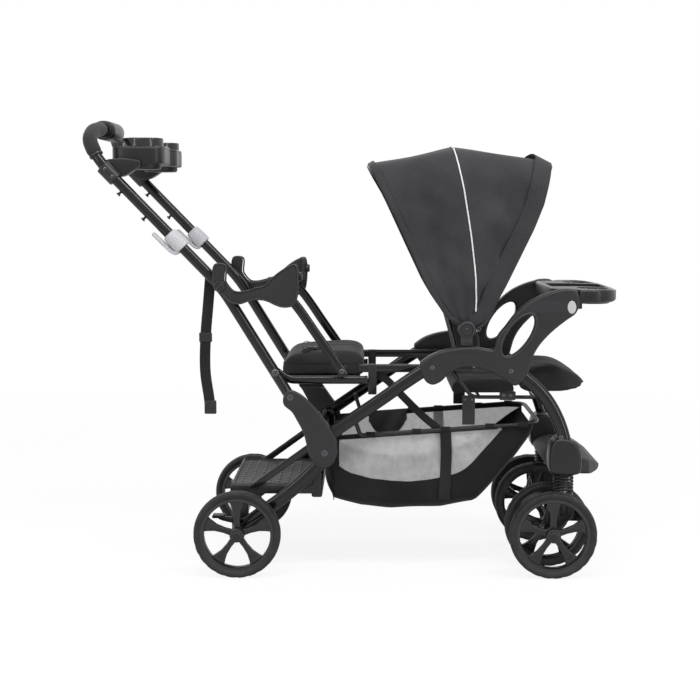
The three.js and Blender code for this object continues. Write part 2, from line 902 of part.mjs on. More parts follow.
function rearCover() {
  const outline = spread(rearCoverShares, coverCorner, coverLength, coverHeight);
  const body = plate(outline, coverNear, coverFar, coverEdge);
  const relief = box(
    coverBackX - overrun, coverBackX + coverLength, coverNear - overrun, coverSplit,
    handleHinge.y - handleTubeDiameter, coverLowZ + coverHeight + overrun,
  );
  const channelled = cut(body, relief, mainTubeBody(gap), mainTubeBody(gap, -half(mainTubeWidth)));
  const handlePin = pin(
    handleHinge.x, handleHinge.y, pivotPinDiameter, handleTubeY - half(handleTubeDiameter),
    coverSplit + overrun,
  );
  const legPin = pin(
    legHinge.x, legHinge.z, hingePinDiameter, legY - half(legTubeWidth), coverFar - overrun,
  );
  return joined(channelled, handlePin, legPin);
}

// The plastic socket at the foot of each main tube, which the front caster turns in
const housingNear = twinY - half(housingWidth) + housingOffset;
const housingFar = housingNear + housingWidth;

function frontHousing() {
  const outline = spread(
    housingShares, flat(casterX - half(housingLength), housingLowZ), housingLength, housingHeight,
  );
  const body = plate(outline, housingNear, housingFar, housingEdge);
  const stemBore = post(
    casterX, twinY, stemDiameter + 2 * axleClearance, housingLowZ - overrun, housingLowZ + stemDepth,
  );
  return cut(body, mainTubeBody(gap), stemBore);
}

function frontFootrest() {
  const corner = flat(footrestBackX, footrestLowZ);
  const outline = spread(footrestShares, corner, footrestLength, footrestHeight);
  const halfWidth = housingNear - gap;
  const body = plate(outline, -halfWidth, halfWidth, footrestEdge);
  const front = footrestBackX + footrestLength;
  const plan = [
    flat(footrestBackX - overrun, -halfWidth - overrun),
    flat(front - footrestRound, -halfWidth - overrun),
    flat(front - footrestCornerBack * footrestRound, -halfWidth + footrestCornerIn * footrestRound),
    flat(front + overrun, -half(halfWidth)),
    flat(front + overrun, half(halfWidth)),
    flat(front - footrestCornerBack * footrestRound, halfWidth - footrestCornerIn * footrestRound),
    flat(front - footrestRound, halfWidth + overrun),
    flat(footrestBackX - overrun, halfWidth + overrun),
  ];
  const grooves = [];
  for (let groove = 0; groove < footrestGrooves; groove += 1) {
    const x = front - footrestRound - groove * footrestGroovePitch;
    const z = outlineTop(outline, x) - footrestGrooveDepth;
    const reach = footrestGrooveShare * halfWidth;
    const width = half(footrestGrooveWidth);
    grooves.push(box(x - width, x + width, -reach, reach, z, z + footrestHeight));
  }
  const rounded = common(body, slab(plan, footrestLowZ - overrun, footrestLowZ + footrestHeight + overrun));
  return cut(rounded, ...grooves);
}

// The seat's bent wire, the two rails behind it and the plates that the bench slides past
function seatFrame() {
  const wireY = seatRailY + half(railTubeWidth) - overrun + half(wireDiameter);
  const wireSide = spreadAt(
    wireY, seatWireShares, flat(seatWireBackX, seatWireLowZ), seatWireLength, seatWireHeight,
  );
  const farSide = wireSide.map((point) => at(point.x, -point.y, point.z)).reverse();
  const wire = bentTube(bentRun([...wireSide, ...farSide], seatWireBend), wireDiameter);
  const pieces = [];
  for (const side of [1, -1]) {
    const y = side * seatRailY;
    const rail = tube(
      [at(seatRailBackX, y, seatRailZ), at(seatRailFrontX, y, seatRailZ)], railTubeWidth, railTubeDepth,
    );
    const plateLow = crossTubeZ - half(crossTubeDiameter) - overrun;
    const hanger = box(
      hangerX - half(hangerLength), hangerX + half(hangerLength),
      y - half(railTubeWidth), y + half(railTubeWidth), plateLow, seatRailZ + half(railTubeDepth),
    );
    const postX = seatWireBackX + seatPostShare * seatWireLength;
    const wireTop = basketWireZ(postX) + half(basketWireDiameter) + gap + overrun;
    const strut = box(
      postX - half(seatPostLength), postX + half(seatPostLength),
      side * wireY - half(seatPostThickness), side * wireY + half(seatPostThickness), wireTop, seatWireLowZ,
    );
    pieces.push(rail, hanger, strut);
  }
  for (const share of seatBarShares) {
    pieces.push(
      pin(seatWireBackX + share * seatWireLength, seatWireLowZ, wireDiameter, -wireY, wireY, tubeSides),
    );
  }
  const crossTube = pin(hangerX, crossTubeZ, crossTubeDiameter, -seatRailY, seatRailY);
  return joined(wire, crossTube, ...pieces);
}

// The wire that the basket hangs from, open at the back
function basketWireZ(x) {
  return basketWireBackZ + (x - basketWireBack) * basketWireSlope;
}

function basketRail() {
  const hang = mainTubePath.find((point) => point.x > basketHangX);
  const start = hang.x + basketWireStep;
  const near = [
    at(hang.x, mainTubeY - half(mainTubeWidth) * flatShare - gap, hang.z),
    at(hang.x, mainTubeY - half(mainTubeWidth) - basketWireDiameter, hang.z),
    at(start, basketWireY, basketWireZ(start)),
    at(start + basketWireStep, basketWireY, basketWireZ(start + basketWireStep)),
    at(basketWireFront, basketWireY, basketWireZ(basketWireFront)),
  ];
  const far = near.map((point) => at(point.x, -point.y, point.z)).reverse();
  return bentTube(bentRun([...near, ...far], basketWireBend, 5), basketWireDiameter);
}

// HANDLE, PARENT TRAY, CRADLE BRACKETS AND REAR BENCH
// The handle tube rises from its hinge to a bend, runs straight to the grips and crosses over
const tubeDirection = new THREE.Vector3(
  handleClampX - handleBendX, 0, handleClampZ - handleBendZ,
).normalize();
const tubeTilt = Math.atan2(tubeDirection.x, tubeDirection.z);
const handleSide = [
  at(handleHinge.x + handleEndBack, handleTubeY, handleHinge.y - handleEndReach),
  at(handleBendX, handleTubeY, handleBendZ),
  at(handleClampX, handleTubeY, handleClampZ),
];
const gripLoop = spreadLoop(
  gripShares, at(handleClampX, handleTubeY, handleClampZ), gripReachX, handleTubeY, gripRise,
);

// Shares of a reach back, of the half width and of a rise, counted from the clamp
function spreadLoop(shares, start, reach, width, rise) {
  return shares.map(
    ([back, inward, high]) => at(start.x - back * reach, start.y - inward * width, start.z + high * rise),
  );
}

const loopCurve = curvedRun([handleSide[2], ...gripLoop], loopSteps);
const handleHalf = [...bentRun(handleSide, handleBend).slice(0, -1), ...loopCurve];
const handlePath = [
  ...handleHalf, ...handleHalf.map((point) => at(point.x, -point.y, point.z)).reverse().slice(1),
];

function handleTube() {
  const tubeBody = bentTube(handlePath, handleTubeDiameter);
  const holes = [];
  for (const place of [handleHinge, benchHinge, cradleHinge]) {
    for (const side of [1, -1]) {
      const near = side * handleTubeY - handleTubeDiameter;
      holes.push(
        pin(place.x, place.y, pivotPinDiameter + 2 * pivotClearance, near, near + 2 * handleTubeDiameter),
      );
    }
  }
  return cut(tubeBody, ...holes);
}

function handleBore() {
  return bentTube(handlePath, handleTubeDiameter + 2 * gap, 8);
}

// A foam sleeve round one side of the loop; side is 1 at the left and -1 at the right
function handleGrip(side) {
  const gripEndStep = loopCurve.findLastIndex((point) => point.y > hubHalfWidth + gripGap);
  const stretch = loopCurve.slice(gripStartStep, gripEndStep + 1).map(
    (point) => at(point.x, side * point.y, point.z),
  );
  return cut(bentTube(stretch, gripDiameter, pinSides), handleBore());
}

function handleHub() {
  const centre = loopCurve[loopCurve.length - 1];
  const body = plate(
    spread(hubShares, flat(centre.x - half(hubLength), centre.z - half(hubHeight)), hubLength, hubHeight),
    -hubHalfWidth, hubHalfWidth, hubEdge,
  );
  return cut(body, handleBore());
}

// A piece modelled round an upright tube, turned and set on the sloping one
function onTube(geometry, x, z) {
  return moved(geometry.rotateY(tubeTilt), x, 0, z);
}

function foldTrigger() {
  const y = handleTubeY;
  const collar = post(0, y, triggerDiameter, -half(triggerLength), half(triggerLength));
  const tabNear = y - half(triggerTabWidth);
  const tabFar = y + half(triggerTabWidth);
  const bridgeEnd = -half(handleTubeDiameter) - triggerBridgeGap;
  const bridge = box(-tabOffset, bridgeEnd, tabNear, tabFar, -half(triggerLength), 0);
  const tab = box(
    -tabOffset - triggerTabThickness, -tabOffset, tabNear, tabFar, -half(triggerLength),
    triggerTabReach,
  );
  const body = joined(collar, bridge, tab);
  const bore = post(0, y, around(handleTubeDiameter, pinSides), -triggerLength, triggerLength);
  return onTube(cut(body, bore), triggerX, triggerZ);
}

// The parent's tray: two cups and a middle well, clamped to the handle at each end
function parentTray() {
  const back = parentTrayBackX;
  const front = back + parentTrayLength;
  const halfWidth = handleTubeY - half(clampDiameter) - parentTrayInset;
  const top = parentTrayLowZ + parentTrayHeight;
  const r = parentTrayRound;
  const inset = parentTrayRoundShare * r;
  const plan = [
    flat(back, -halfWidth + r), flat(back + inset, -halfWidth + inset), flat(back + r, -halfWidth),
    flat(front - r, -halfWidth), flat(front - inset, -halfWidth + inset), flat(front, -halfWidth + r),
    flat(front, -parentTrayWaist), flat(front - parentTrayBay, -half(parentTrayWaist)),
    flat(front - parentTrayBay, half(parentTrayWaist)), flat(front, parentTrayWaist),
    flat(front, halfWidth - r), flat(front - inset, halfWidth - inset), flat(front - r, halfWidth),
    flat(back + r, halfWidth), flat(back + inset, halfWidth - inset), flat(back, halfWidth - r),
  ];
  const pieces = [];
  const holes = [];
  const cupX = front - half(cupRingDiameter) - parentTrayWall;
  const cupLow = parentTrayLowZ - cupDrop;
  for (const side of [1, -1]) {
    const cupY = side * (halfWidth - half(cupRingDiameter) - parentTrayWall);
    pieces.push(post(cupX, cupY, cupRingDiameter, top - overrun, top + cupRingRise, cupSides));
    const cupOuter = cupDiameter + 2 * parentTrayWall;
    pieces.push(post(cupX, cupY, cupOuter, cupLow, parentTrayLowZ + overrun, cupSides));
    const cupTop = top + cupRingRise + overrun;
    holes.push(post(cupX, cupY, cupDiameter, cupLow + parentTrayWall, cupTop, cupSides));
    const arm = plate(
      spread(clampArmShares, flat(clampArmBackX, clampArmLowZ), clampArmLength, clampArmHeight),
      side > 0 ? halfWidth - clampArmInset : -handleTubeY,
      side > 0 ? handleTubeY : -halfWidth + clampArmInset,
    );
    const collar = post(0, side * handleTubeY, clampDiameter, -half(clampLength), half(clampLength));
    pieces.push(arm, onTube(collar, handleClampX, handleClampZ));
  }
  const well = box(
    back + 2 * parentTrayWall, front - parentTrayBay - 2 * parentTrayWall,
    -wellHalfWidth, wellHalfWidth, parentTrayLowZ + parentTrayWall, top + overrun,
  );
  const body = joined(slab(plan, parentTrayLowZ, top, parentTrayEdge), ...pieces);
  return cut(body, well, handleBore(), ...holes);
}

// The saddle that one end of an infant seat rests in, on its pivot at the side of the handle
const bracketNear = handleTubeY + half(handleTubeDiameter) + bracketGap;
const bracketFar = bracketNear + bracketThickness;
const bracketFront = bracketBackX + bracketLength;

function cradleBracket() {
  const corner = flat(bracketBackX, bracketLowZ);
  const body = plate(
    spread(bracketShares, corner, bracketLength, bracketHeight), bracketNear, bracketFar, bracketEdge,
  );
  const top = bracketLowZ + bracketHeight;
  const flange = box(
    bracketFront - flangeThickness, bracketFront, bracketNear - flangeDepth, bracketFar - overrun,
    bracketLowZ + flangeLowShare * bracketHeight, top - overrun,
  );
  const knob = post(0, 0, knobDiameter, 0, knobLength + overrun);
  knob.rotateY(Math.PI / 2);
  moved(
    knob, bracketFront - overrun, bracketNear - half(flangeDepth),
    bracketLowZ + knobShare * bracketHeight,
  );
  const pivot = pin(
    cradleHinge.x, cradleHinge.y, pivotPinDiameter, handleTubeY - half(handleTubeDiameter),
    bracketNear + overrun,
  );
  const face = pin(
    cradleHinge.x, cradleHinge.y, pivotKnobDiameter, bracketFar - overrun, bracketFar + pivotKnobHeight,
  );
  return joined(body, flange, knob, pivot, face);
}

function supportTube() {
  const points = spreadAt(
    supportTubeY, supportShares, flat(supportTopX, supportLowZ), supportLowX - supportTopX,
    supportTopZ - supportLowZ,
  );
  const body = tube(curvedRun(points, curveSteps), supportTubeWidth, supportTubeDepth);
  const bore = pin(
    supportLowX, supportLowZ, pivotPinDiameter + 2 * pivotClearance, supportTubeY - supportTubeWidth,
    supportTubeY + supportTubeWidth,
  );
  return cut(body, bore);
}

// The rear bench: two rails hung from the handle, a board between them and a crowned pad on it
function benchFrame() {
  const pieces = [];
  const boardTop = benchRailZ + half(benchBoardThickness);
  for (const side of [1, -1]) {
    const y = side * benchRailY;
    const run = [
      at(benchHinge.x, y, benchHinge.y), at(benchHinge.x + benchRailDrop, y, benchRailZ), at(
        benchRailFrontX, y, benchRailZ,
      ),
    ];
    const rail = tube(bentRun(run, benchRailDrop, 3), railTubeWidth, railTubeDepth);
    const inner = Math.min(side * benchRailY, side * (handleTubeY + half(handleTubeDiameter)));
    const outer = Math.max(side * benchRailY, side * (handleTubeY + half(handleTubeDiameter)));
    const hingePin = pin(benchHinge.x, benchHinge.y, pivotPinDiameter, inner, outer);
    const stud = supportTubeY + half(supportTubeWidth) + studProud;
    const supportPin = pin(
      supportLowX, supportLowZ, pivotPinDiameter, Math.min(y, side * stud), Math.max(y, side * stud),
    );
    const lug = box(
      supportLowX - half(lugLength), supportLowX + half(lugLength),
      y - half(lugThickness), y + half(lugThickness),
      benchRailZ, supportLowZ + half(lugLength),
    );
    pieces.push(rail, hingePin, supportPin, lug);
  }
  for (const share of benchBarShares) {
    const x = benchHinge.x + share * (benchRailFrontX - benchHinge.x);
    pieces.push(pin(x, benchRailZ, crossTubeDiameter, -benchRailY, benchRailY));
  }
  const board = box(
    benchPadBackX, benchPadBackX + benchPadLength - benchNose, -benchHalfWidth, benchHalfWidth,
    boardTop - benchBoardThickness, boardTop,
  );
  return joined(board, ...pieces);
}

// The tether: webbing hung from the handle tube, closed at its foot by a buckle
function tetherStrap() {
  const points = tetherRun.map(
    ([back, low]) => at(tetherTopX - back * tetherSway, -tetherY, tetherTopZ - low * tetherLength),
  );
  return strap(curvedRun(points, strapSteps), tetherWidth, tetherThickness, ahead);
}

// REAR LEGS, AXLE, PLATFORM AND BRAKES
const legHubOuter = trackHalf - half(hubWidth) - gap;

function rearLeg() {
  const points = [
    at(legHinge.x, legY, legHinge.z), ...spreadAt(
      legY, legShares, flat(0, wheelRadius), legHinge.x, legHinge.z - wheelRadius,
    ),
    at(0, legY, wheelRadius),
  ];
  const body = tube(bentRun(points, legBend, 3), legTubeWidth, legTubeDepth);
  const near = legY - half(legTubeWidth);
  const far = legY + half(legTubeWidth);
  const head = pin(legHinge.x, legHinge.z, legTubeDepth, near, far, discSides);
  const hub = pin(0, wheelRadius, legTubeDepth, near, legHubOuter, discSides);
  const lug = pin(pedalHinge.x, pedalHinge.y, pedalLugDiameter, near, far);
  const pedalPin = pin(
    pedalHinge.x, pedalHinge.y, pedalPinDiameter, far - overrun, far + pedalThickness + 2 * gap,
  );
  const headBore = pin(
    legHinge.x, legHinge.z, hingePinDiameter + 2 * pivotClearance, near - overrun, far + overrun,
  );
  const axleBore = pin(0, wheelRadius, axleDiameter + 2 * gap, near - overrun, legHubOuter + overrun);
  return cut(joined(body, head, hub, lug, pedalPin), headBore, axleBore);
}

function rearAxle() {
  const end = trackHalf + half(hubWidth) + gap;
  const heads = [end, -end - axleHeadWidth].map(
    (inner) => pin(0, wheelRadius, axleHeadDiameter, inner, inner + axleHeadWidth),
  );
  return joined(pin(0, wheelRadius, axleDiameter, -end - overrun, end + overrun), ...heads);
}

// The standing platform: a thin deck, a raised toe board in front, axle hangers and side struts
function rearPlatform() {
  const halfWidth = platformHalfWidth;
  const deckFront = platformBackX + platformLength;
  const deck = box(
    platformBackX, deckFront, -halfWidth, halfWidth, platformTopZ - platformThickness, platformTopZ,
  );
  const well = box(
    platformBackX + platformRim, deckFront - toeBoardLength,
    -halfWidth + platformRim, halfWidth - platformRim,
    platformTopZ - platformRecess, platformTopZ + overrun,
  );
  const toeBoard = box(
    deckFront - toeBoardLength, deckFront, -halfWidth, halfWidth, toeBoardLowZ, toeBoardTopZ,
  );
  const pieces = [toeBoard];
  for (const side of [1, -1]) {
    const inner = side > 0 ? halfWidth - hangerWidth : -halfWidth;
    const middle = platformTopZ - half(platformThickness);
    pieces.push(
      box(-legTubeWidth, legTubeWidth, inner, inner + hangerWidth, wheelRadius - legTubeWidth, middle),
    );
    const y = side * (halfWidth + half(strutThickness) - overrun);
    const strutTop = at(legHinge.x - strutInset, y, legHinge.z - strutInset);
    const strutFoot = at(platformBackX + strutFootShare * platformLength, y, middle);
    const strut = tube([strutFoot, strutTop], strutThickness, strutDepth, across, thinSides);
    const legSide = side * (legY - half(legTubeWidth) - gap);
    pieces.push(strut, pin(strutTop.x, strutTop.z, strutDepth, Math.min(y, legSide), Math.max(y, legSide)));
  }
  const axleBore = pin(0, wheelRadius, axleDiameter + 2 * gap, -halfWidth - overrun, halfWidth + overrun);
  return cut(joined(deck, ...pieces), well, axleBore);
}

function brakePedal() {
  const near = legY + half(legTubeWidth) + gap;
  const far = near + pedalThickness;
  const ring = pin(pedalHinge.x, pedalHinge.y, pedalLugDiameter, near, far);
  const tread = box(
    pedalHinge.x - pedalReach, pedalHinge.x - pedalReach + pedalTreadLength, far - pedalTreadWidth, far,
    pedalHinge.y + pedalRise - pedalTreadThickness, pedalHinge.y + pedalRise,
  );
  const armEnd = pedalHinge.x - pedalReach + half(pedalTreadLength);
  const arm = plate(
    [
      flat(armEnd, pedalHinge.y + pedalRise - pedalTreadThickness),
      flat(pedalHinge.x, pedalHinge.y - pedalRootShare * pedalLugDiameter),
      flat(pedalHinge.x, pedalHinge.y + pedalRootShare * pedalLugDiameter),
      flat(armEnd, pedalHinge.y + pedalRise - pedalTipShare * pedalTreadThickness),
    ],
    near, far,
  );
  const bore = pin(
    pedalHinge.x, pedalHinge.y, pedalPinDiameter + 2 * pivotClearance, near - overrun, far + overrun,
  );
  return cut(joined(ring, tread, arm), bore);
}

// WHEELS, each turning about the axle along Y at the wheel's own middle
const bandOuter = wheelRadius - tyreDepth;
const bandInner = bandOuter - rimBandDepth;

function revolved(profile, segments) {
  const points = profile.map(([radius, width]) => new THREE.Vector2(radius, width));
  return new THREE.LatheGeometry([...points, points[0]], segments);
}

function tyreRing(inner) {
  const w = half(tyreWidth);
  return revolved([
    [inner, -w * tyreFlankShare], [wheelRadius - tyreShoulder, -w], [wheelRadius, -w * tyreTreadShare],
    [wheelRadius, w * tyreTreadShare], [wheelRadius - tyreShoulder, w], [inner, w * tyreFlankShare],
  ], wheelSegments);
}

function rimBody(bandTop) {
  const w = half(rimWidth);
  const band = revolved([[bandInner, -w], [bandTop, -w], [bandTop, w], [bandInner, w]], wheelSegments);
  const pieces = [pin(0, 0, hubDiameter, -half(hubWidth), half(hubWidth), discSides)];
  for (let spoke = 0; spoke < spokeCount; spoke += 1) {
    const blade = plate(
      [
        flat(-spokeRootHalf, 0), flat(spokeRootHalf, 0),
        flat(spokeTipHalf, bandInner + half(rimBandDepth)), flat(
          -spokeTipHalf, bandInner + half(rimBandDepth),
        ),
      ],
      -half(spokeWidth), half(spokeWidth),
    );
    pieces.push(blade.rotateY((spoke / spokeCount) * 2 * Math.PI));
  }
  return joined(band, ...pieces);
}

function hubBore() {
  return pin(0, 0, axleDiameter + 2 * axleClearance, -hubWidth, hubWidth);
}

function rearRim() {
  return moved(cut(rimBody(bandOuter - gap), hubBore()), 0, trackHalf, wheelRadius);
}

function rearTyre() {
  return moved(tyreRing(bandOuter), 0, trackHalf, wheelRadius);
}

function frontWheel(y) {
  const wheel = cut(joined(tyreRing(bandOuter), rimBody(bandOuter + overrun)), hubBore());
  return moved(wheel, wheelBase, y, wheelRadius);
}

// FRONT CASTERS: a stem that turns in the socket, a fork that slides on it and the spring between
const stemFlangeLow = housingLowZ - gap - stemFlangeHeight;
const springTop = stemFlangeLow - gap;
const springLow = springTop - springLength;
const forkTop = springLow - gap;
const stemLow = forkTop - stemReach;

function swivelStem() {
  const flange = post(casterX, twinY, springDiameter, stemFlangeLow, housingLowZ - gap, discSides);
  const shaft = post(casterX, twinY, stemDiameter, stemLow, housingLowZ + stemDepth - gap);
  return joined(flange, shaft);
}

function frontFork() {
  const headLow = forkTop - forkHeadHeight;
  const head = post(casterX, twinY, forkHeadDiameter, headLow, forkTop, discSides);
  const taper = forkTaperShare * forkHubDiameter;
  const outline = [
    flat(casterX - half(forkHeadDiameter), forkTop - overrun), flat(
      wheelBase - half(forkHubDiameter), wheelRadius,
    ),
    flat(wheelBase - taper, wheelRadius - taper), flat(wheelBase + taper, wheelRadius - taper),
    flat(casterX + half(forkHeadDiameter), headLow), flat(
      casterX + half(forkHeadDiameter), forkTop - overrun,
    ),
  ];
  const leg = plate(outline, twinY - half(forkLegWidth), twinY + half(forkLegWidth), forkEdge);
  const hubReach = half(twinSpacing) - half(hubWidth) - gap;
  const axleReach = half(twinSpacing) + half(hubWidth) + gap;
  const hub = pin(wheelBase, wheelRadius, forkHubDiameter, twinY - hubReach, twinY + hubReach, discSides);
  const axle = pin(
    wheelBase, wheelRadius, axleDiameter, twinY - axleReach - overrun, twinY + axleReach + overrun,
  );
  const heads = [
    pin(wheelBase, wheelRadius, axleHeadDiameter, twinY + axleReach, twinY + axleReach + axleHeadWidth),
    pin(wheelBase, wheelRadius, axleHeadDiameter, twinY - axleReach - axleHeadWidth, twinY - axleReach),
  ];
  const socket = post(
    casterX, twinY, stemDiameter + 2 * axleClearance, stemLow - forkTravel - gap, forkTop + overrun,
  );
  return joined(cut(joined(head, leg, hub), socket), axle, ...heads);
}

// One unbroken wire wound in curls, flat at both ends where it seats
function frontSpring() {
  const radius = half(springDiameter - springWire);
  const rise = springLength - springWire;
  const steps = springCurls * springSteps;
  const centres = [];
  for (let step = 0; step <= steps; step += 1) {
    const turn = (step / springSteps) * 2 * Math.PI;
    const low = springLow + half(springWire) + (step / steps) * rise;
    centres.push(at(casterX + radius * Math.cos(turn), twinY + radius * Math.sin(turn), low));
  }
  return tube(centres, springWire, springWire, up, springSides);
}

function springGap() {
  return (springLength - springWire) / springCurls - springWire;
}

// CHILD'S TRAY
const trayBack = armrestBackX + armrestLength + gap;

function childTray() {
  const front = trayBack + trayLength;
  const side = trayHalfWidth;
  const inside = armrestNear - gap - overrun;
  const plan = [
    ...trayPlanShares.map(([x, y]) => flat(trayBack + x * trayLength, -y * side)),
    ...trayPlanShares.map(([x, y]) => flat(trayBack + x * trayLength, y * side)).reverse(),
    flat(trayBack, inside), flat(trayBack - trayBowl, trayBowlShare * inside),
    flat(trayBack - trayBowl, -trayBowlShare * inside), flat(trayBack, -inside),
  ];
  const outline = spread(
    trayProfileShares, flat(trayBack - trayBowl - overrun, trayLowZ),
    trayLength + trayBowl + 2 * overrun, trayHeight,
  );
  const body = common(
    slab(plan, trayLowZ, trayLowZ + trayHeight, trayEdge),
    plate(outline, -side - overrun, side + overrun),
  );
  const pieces = [];
  const holes = [];
  const cupX = trayBack + trayCupShare * trayLength;
  const cupLow = trayLowZ - trayCupDrop;
  const top = trayLowZ + trayHeight;
  for (const turn of [1, -1]) {
    const inner = turn > 0 ? tongueNear : -tongueFar;
    const cupY = turn * trayCupY;
    const cupOuter = trayCupDiameter + 2 * trayWall;
    pieces.push(box(
      tongueBack, trayBack + trayEdge + overrun, inner, inner + tongueThickness,
      tongueLow, tongueLow + tongueHeight,
    ));
    pieces.push(post(cupX, cupY, cupOuter, cupLow, trayLowZ + half(trayHeight), cupSides));
    holes.push(post(cupX, cupY, trayCupDiameter, cupLow + trayWall, top + overrun, cupSides));
  }
  const well = box(
    trayBack - trayBowl + trayWellBack, front - trayWellFrontShare * trayLength,
    -trayWellHalf, trayWellHalf, top - trayWellDepth, top + overrun,
  );
  return cut(joined(body, ...pieces), well, ...holes);
}

// CANOPY: three flat bows on one pivot at each side, and the two cloth panels between them
const pivotX = armrestBackX + pivotShares[0] * armrestLength;
const pivotZ = armrestLowZ + armrestHeight * pivotShares[1];
const hubNear = canopySideY + bowStackShare * bowPitch + half(bowThickness) + gap;

function canopyHub() {
  const disc = pin(pivotX, pivotZ, canopyHubDiameter, hubNear, hubNear + canopyHubWidth, cupSides);
  const foot = box(
    pivotX - half(hubFootLength), pivotX + half(hubFootLength), hubNear, hubNear + canopyHubWidth - overrun,
    armrestLowZ + hubFootShare * armrestHeight + gap, pivotZ,
  );
  const axlePin = pin(
    pivotX, pivotZ, bowPinDiameter, canopySideY - bowStackShare * bowPitch - half(bowThickness),
    hubNear + overrun,
  );
  return joined(disc, foot, axlePin);
}

// A place on the canopy: an angle forward from upright, a reach from the pivot and a sideways place
function canopyPoint(angle, reach, y) {
  return at(pivotX + reach * Math.sin(angle), y, pivotZ + reach * Math.cos(angle));
}

function bow(angle, reach, order) {
  const y = canopySideY + (order - 1) * bowPitch;
  const run = bowRun(angle, 0, reach, y);
  const side = canopyPoint(angle + Math.PI / 2, 1, 0).sub(canopyPoint(0, 0, 0));
  const strip = tube(run, bowWidth, bowThickness, side, thinSides);
  const eyes = [y, -y].map(
    (middle) => pin(
      pivotX, pivotZ, bowEyeDiameter, middle - half(bowThickness), middle + half(bowThickness),
      discSides,
    ),
  );
  const boreHalf = canopySideY + canopyHubWidth;
  const bore = pin(pivotX, pivotZ, bowPinDiameter + 2 * pivotClearance, -boreHalf, boreHalf);
  return cut(joined(strip, ...eyes), bore);
}

// Up one side from a start above the pivot, over a gently crowned top with round corners, and down
function bowRun(angle, start, reach, y) {
  const near = [canopyPoint(angle, start, y)];
  for (let step = 0; step <= bowCornerSteps; step += 1) {
    const bend = (step / bowCornerSteps) * half(Math.PI);
    const height = reach - bowCorner * (1 - Math.sin(bend));
    near.push(canopyPoint(angle, height, y - bowCorner * (1 - Math.cos(bend))));
  }
  const far = near.map((point) => at(point.x, -point.y, point.z)).reverse();
  return [...near, canopyPoint(angle, reach + bowCrown, 0), ...far];
}

// One sheet of the canopy from one bow to the next, with a slight sag between them
function canopyPanel(fromAngle, fromReach, toAngle, toReach) {
  const outer = [];
  const inner = [];
  for (let row = 0; row <= panelRows; row += 1) {
    const share = row / panelRows;
    const angle = fromAngle + share * (toAngle - fromAngle);
    const sag = panelSag * Math.sin(share * Math.PI);
    const reach = fromReach + share * (toReach - fromReach) - sag;
    const lift = panelLift + panelThickness;
    outer.push(bowRun(angle, panelStart, reach + lift, canopySideY + bowPitch + lift));
    inner.push(bowRun(angle, panelStart, reach + panelLift, canopySideY + bowPitch + panelLift));
  }
  return sheet(outer, inner);
}

// SEAT, BACKREST AND CUSHIONS
// A padded form built across the seat: one side outline, drawn in and lowered towards both ends
function cushion(outlineShares, corner, length, height, halfWidth) {
  const outline = smooth(spread(outlineShares, corner, length, height), cushionPoints);
  outline.forEach((point) => point.max(corner));
  const middleX = corner.x + half(length);
  const rows = [];
  for (let row = 0; row <= cushionRows; row += 1) {
    const share = -1 + (2 * row) / cushionRows;
    const y = halfWidth * Math.sin(share * half(Math.PI));
    const fullness = Math.max(Math.sqrt(1 - Math.abs(share) ** cushionSquareness), cushionEndShare);
    const ends = 1 - cushionDrawIn * (1 - fullness);
    rows.push(outline.map((point) => {
      const x = middleX + (point.x - middleX) * ends;
      const z = corner.y + (point.y - corner.y) * fullness;
      return at(x, y, z);
    }));
  }
  return loft(rows);
}

const seatPadLowZ = seatWireLowZ + half(wireDiameter) + gap;

function seatPad() {
  return cushion(
    seatPadShares, flat(seatPadBackX, seatPadLowZ), seatPadLength, seatPadHeight, seatHalfWidth,
  );
}

function calfRest() {
  return cushion(calfShares, flat(calfBackX, seatPadLowZ), calfLength, calfHeight, seatHalfWidth);
}

function benchCushion() {
  const low = benchRailZ + half(benchBoardThickness) + gap;
  return cushion(benchPadShares, flat(benchPadBackX, low), benchPadLength, benchPadHeight, benchHalfWidth);
}

function backrest() {
  const board = cushion(backrestShares, flat(0, 0), backrestLength, backrestThickness, seatHalfWidth);
  const rodHalf = seatRailY - half(railTubeWidth) * flatShare - gap;
  const rod = pin(
    backrestRodShares[0] * backrestLength, backrestRodShares[1] * backrestThickness,
    backrestRodDiameter, -rodHalf, rodHalf,
  );
  const body = joined(board, rod);
  body.rotateX(Math.PI);
  body.rotateY(-Math.PI / 2 - degrees(backrestLean));
  return moved(body, backrestFootX, 0, backrestFootZ);
}

// BASKET: a tub of cloth hung from the wire, and its loose back panel
const tubHalf = basketWireY - half(basketWireDiameter) * flatShare - gap;

// A tub seen from the side, with its two front corners rounded off in plan
function tubForm(inset) {
  const corner = flat(basketBackX + inset, basketLowZ + inset);
  const outline = spread(
    basketShares, corner, basketLength - 2 * inset, basketDepth + overrun * Math.sign(inset),
  );
  const front = basketBackX + basketLength - inset;
  const side = tubHalf - inset;
  const plan = [
    flat(basketBackX - overrun, -side), flat(front - basketCorner, -side),
    flat(front - basketCornerShare * basketCorner, -side + basketCornerShare * basketCorner),
    flat(front, -side + basketCorner), flat(front, side - basketCorner),
    flat(front - basketCornerShare * basketCorner, side - basketCornerShare * basketCorner),
    flat(front - basketCorner, side), flat(basketBackX - overrun, side),
  ];
  return common(
    plate(outline, -side, side), slab(plan, basketLowZ - basketDepth, basketLowZ + 2 * basketDepth),
  );
}

function basketTub() {
  const mouth = box(
    basketBackX - overrun, basketBackX + 2 * basketWall, -tubHalf + basketWall, tubHalf - basketWall,
    basketLowZ + basketLip, basketLowZ + 2 * basketDepth,
  );
  return cut(tubForm(0), tubForm(basketWall), mouth);
}

function basketBack() {
  const x = basketBackX - half(basketWall) - gap;
  const low = basketLowZ + basketLip;
  const points = spreadAt(
    0, basketBackShares, flat(x - basketBackSwell, low), basketBackSwell, basketBackTopZ - low,
  );
  return strap(curvedRun(points, curveSteps), 2 * tubHalf, basketWall, across);
}

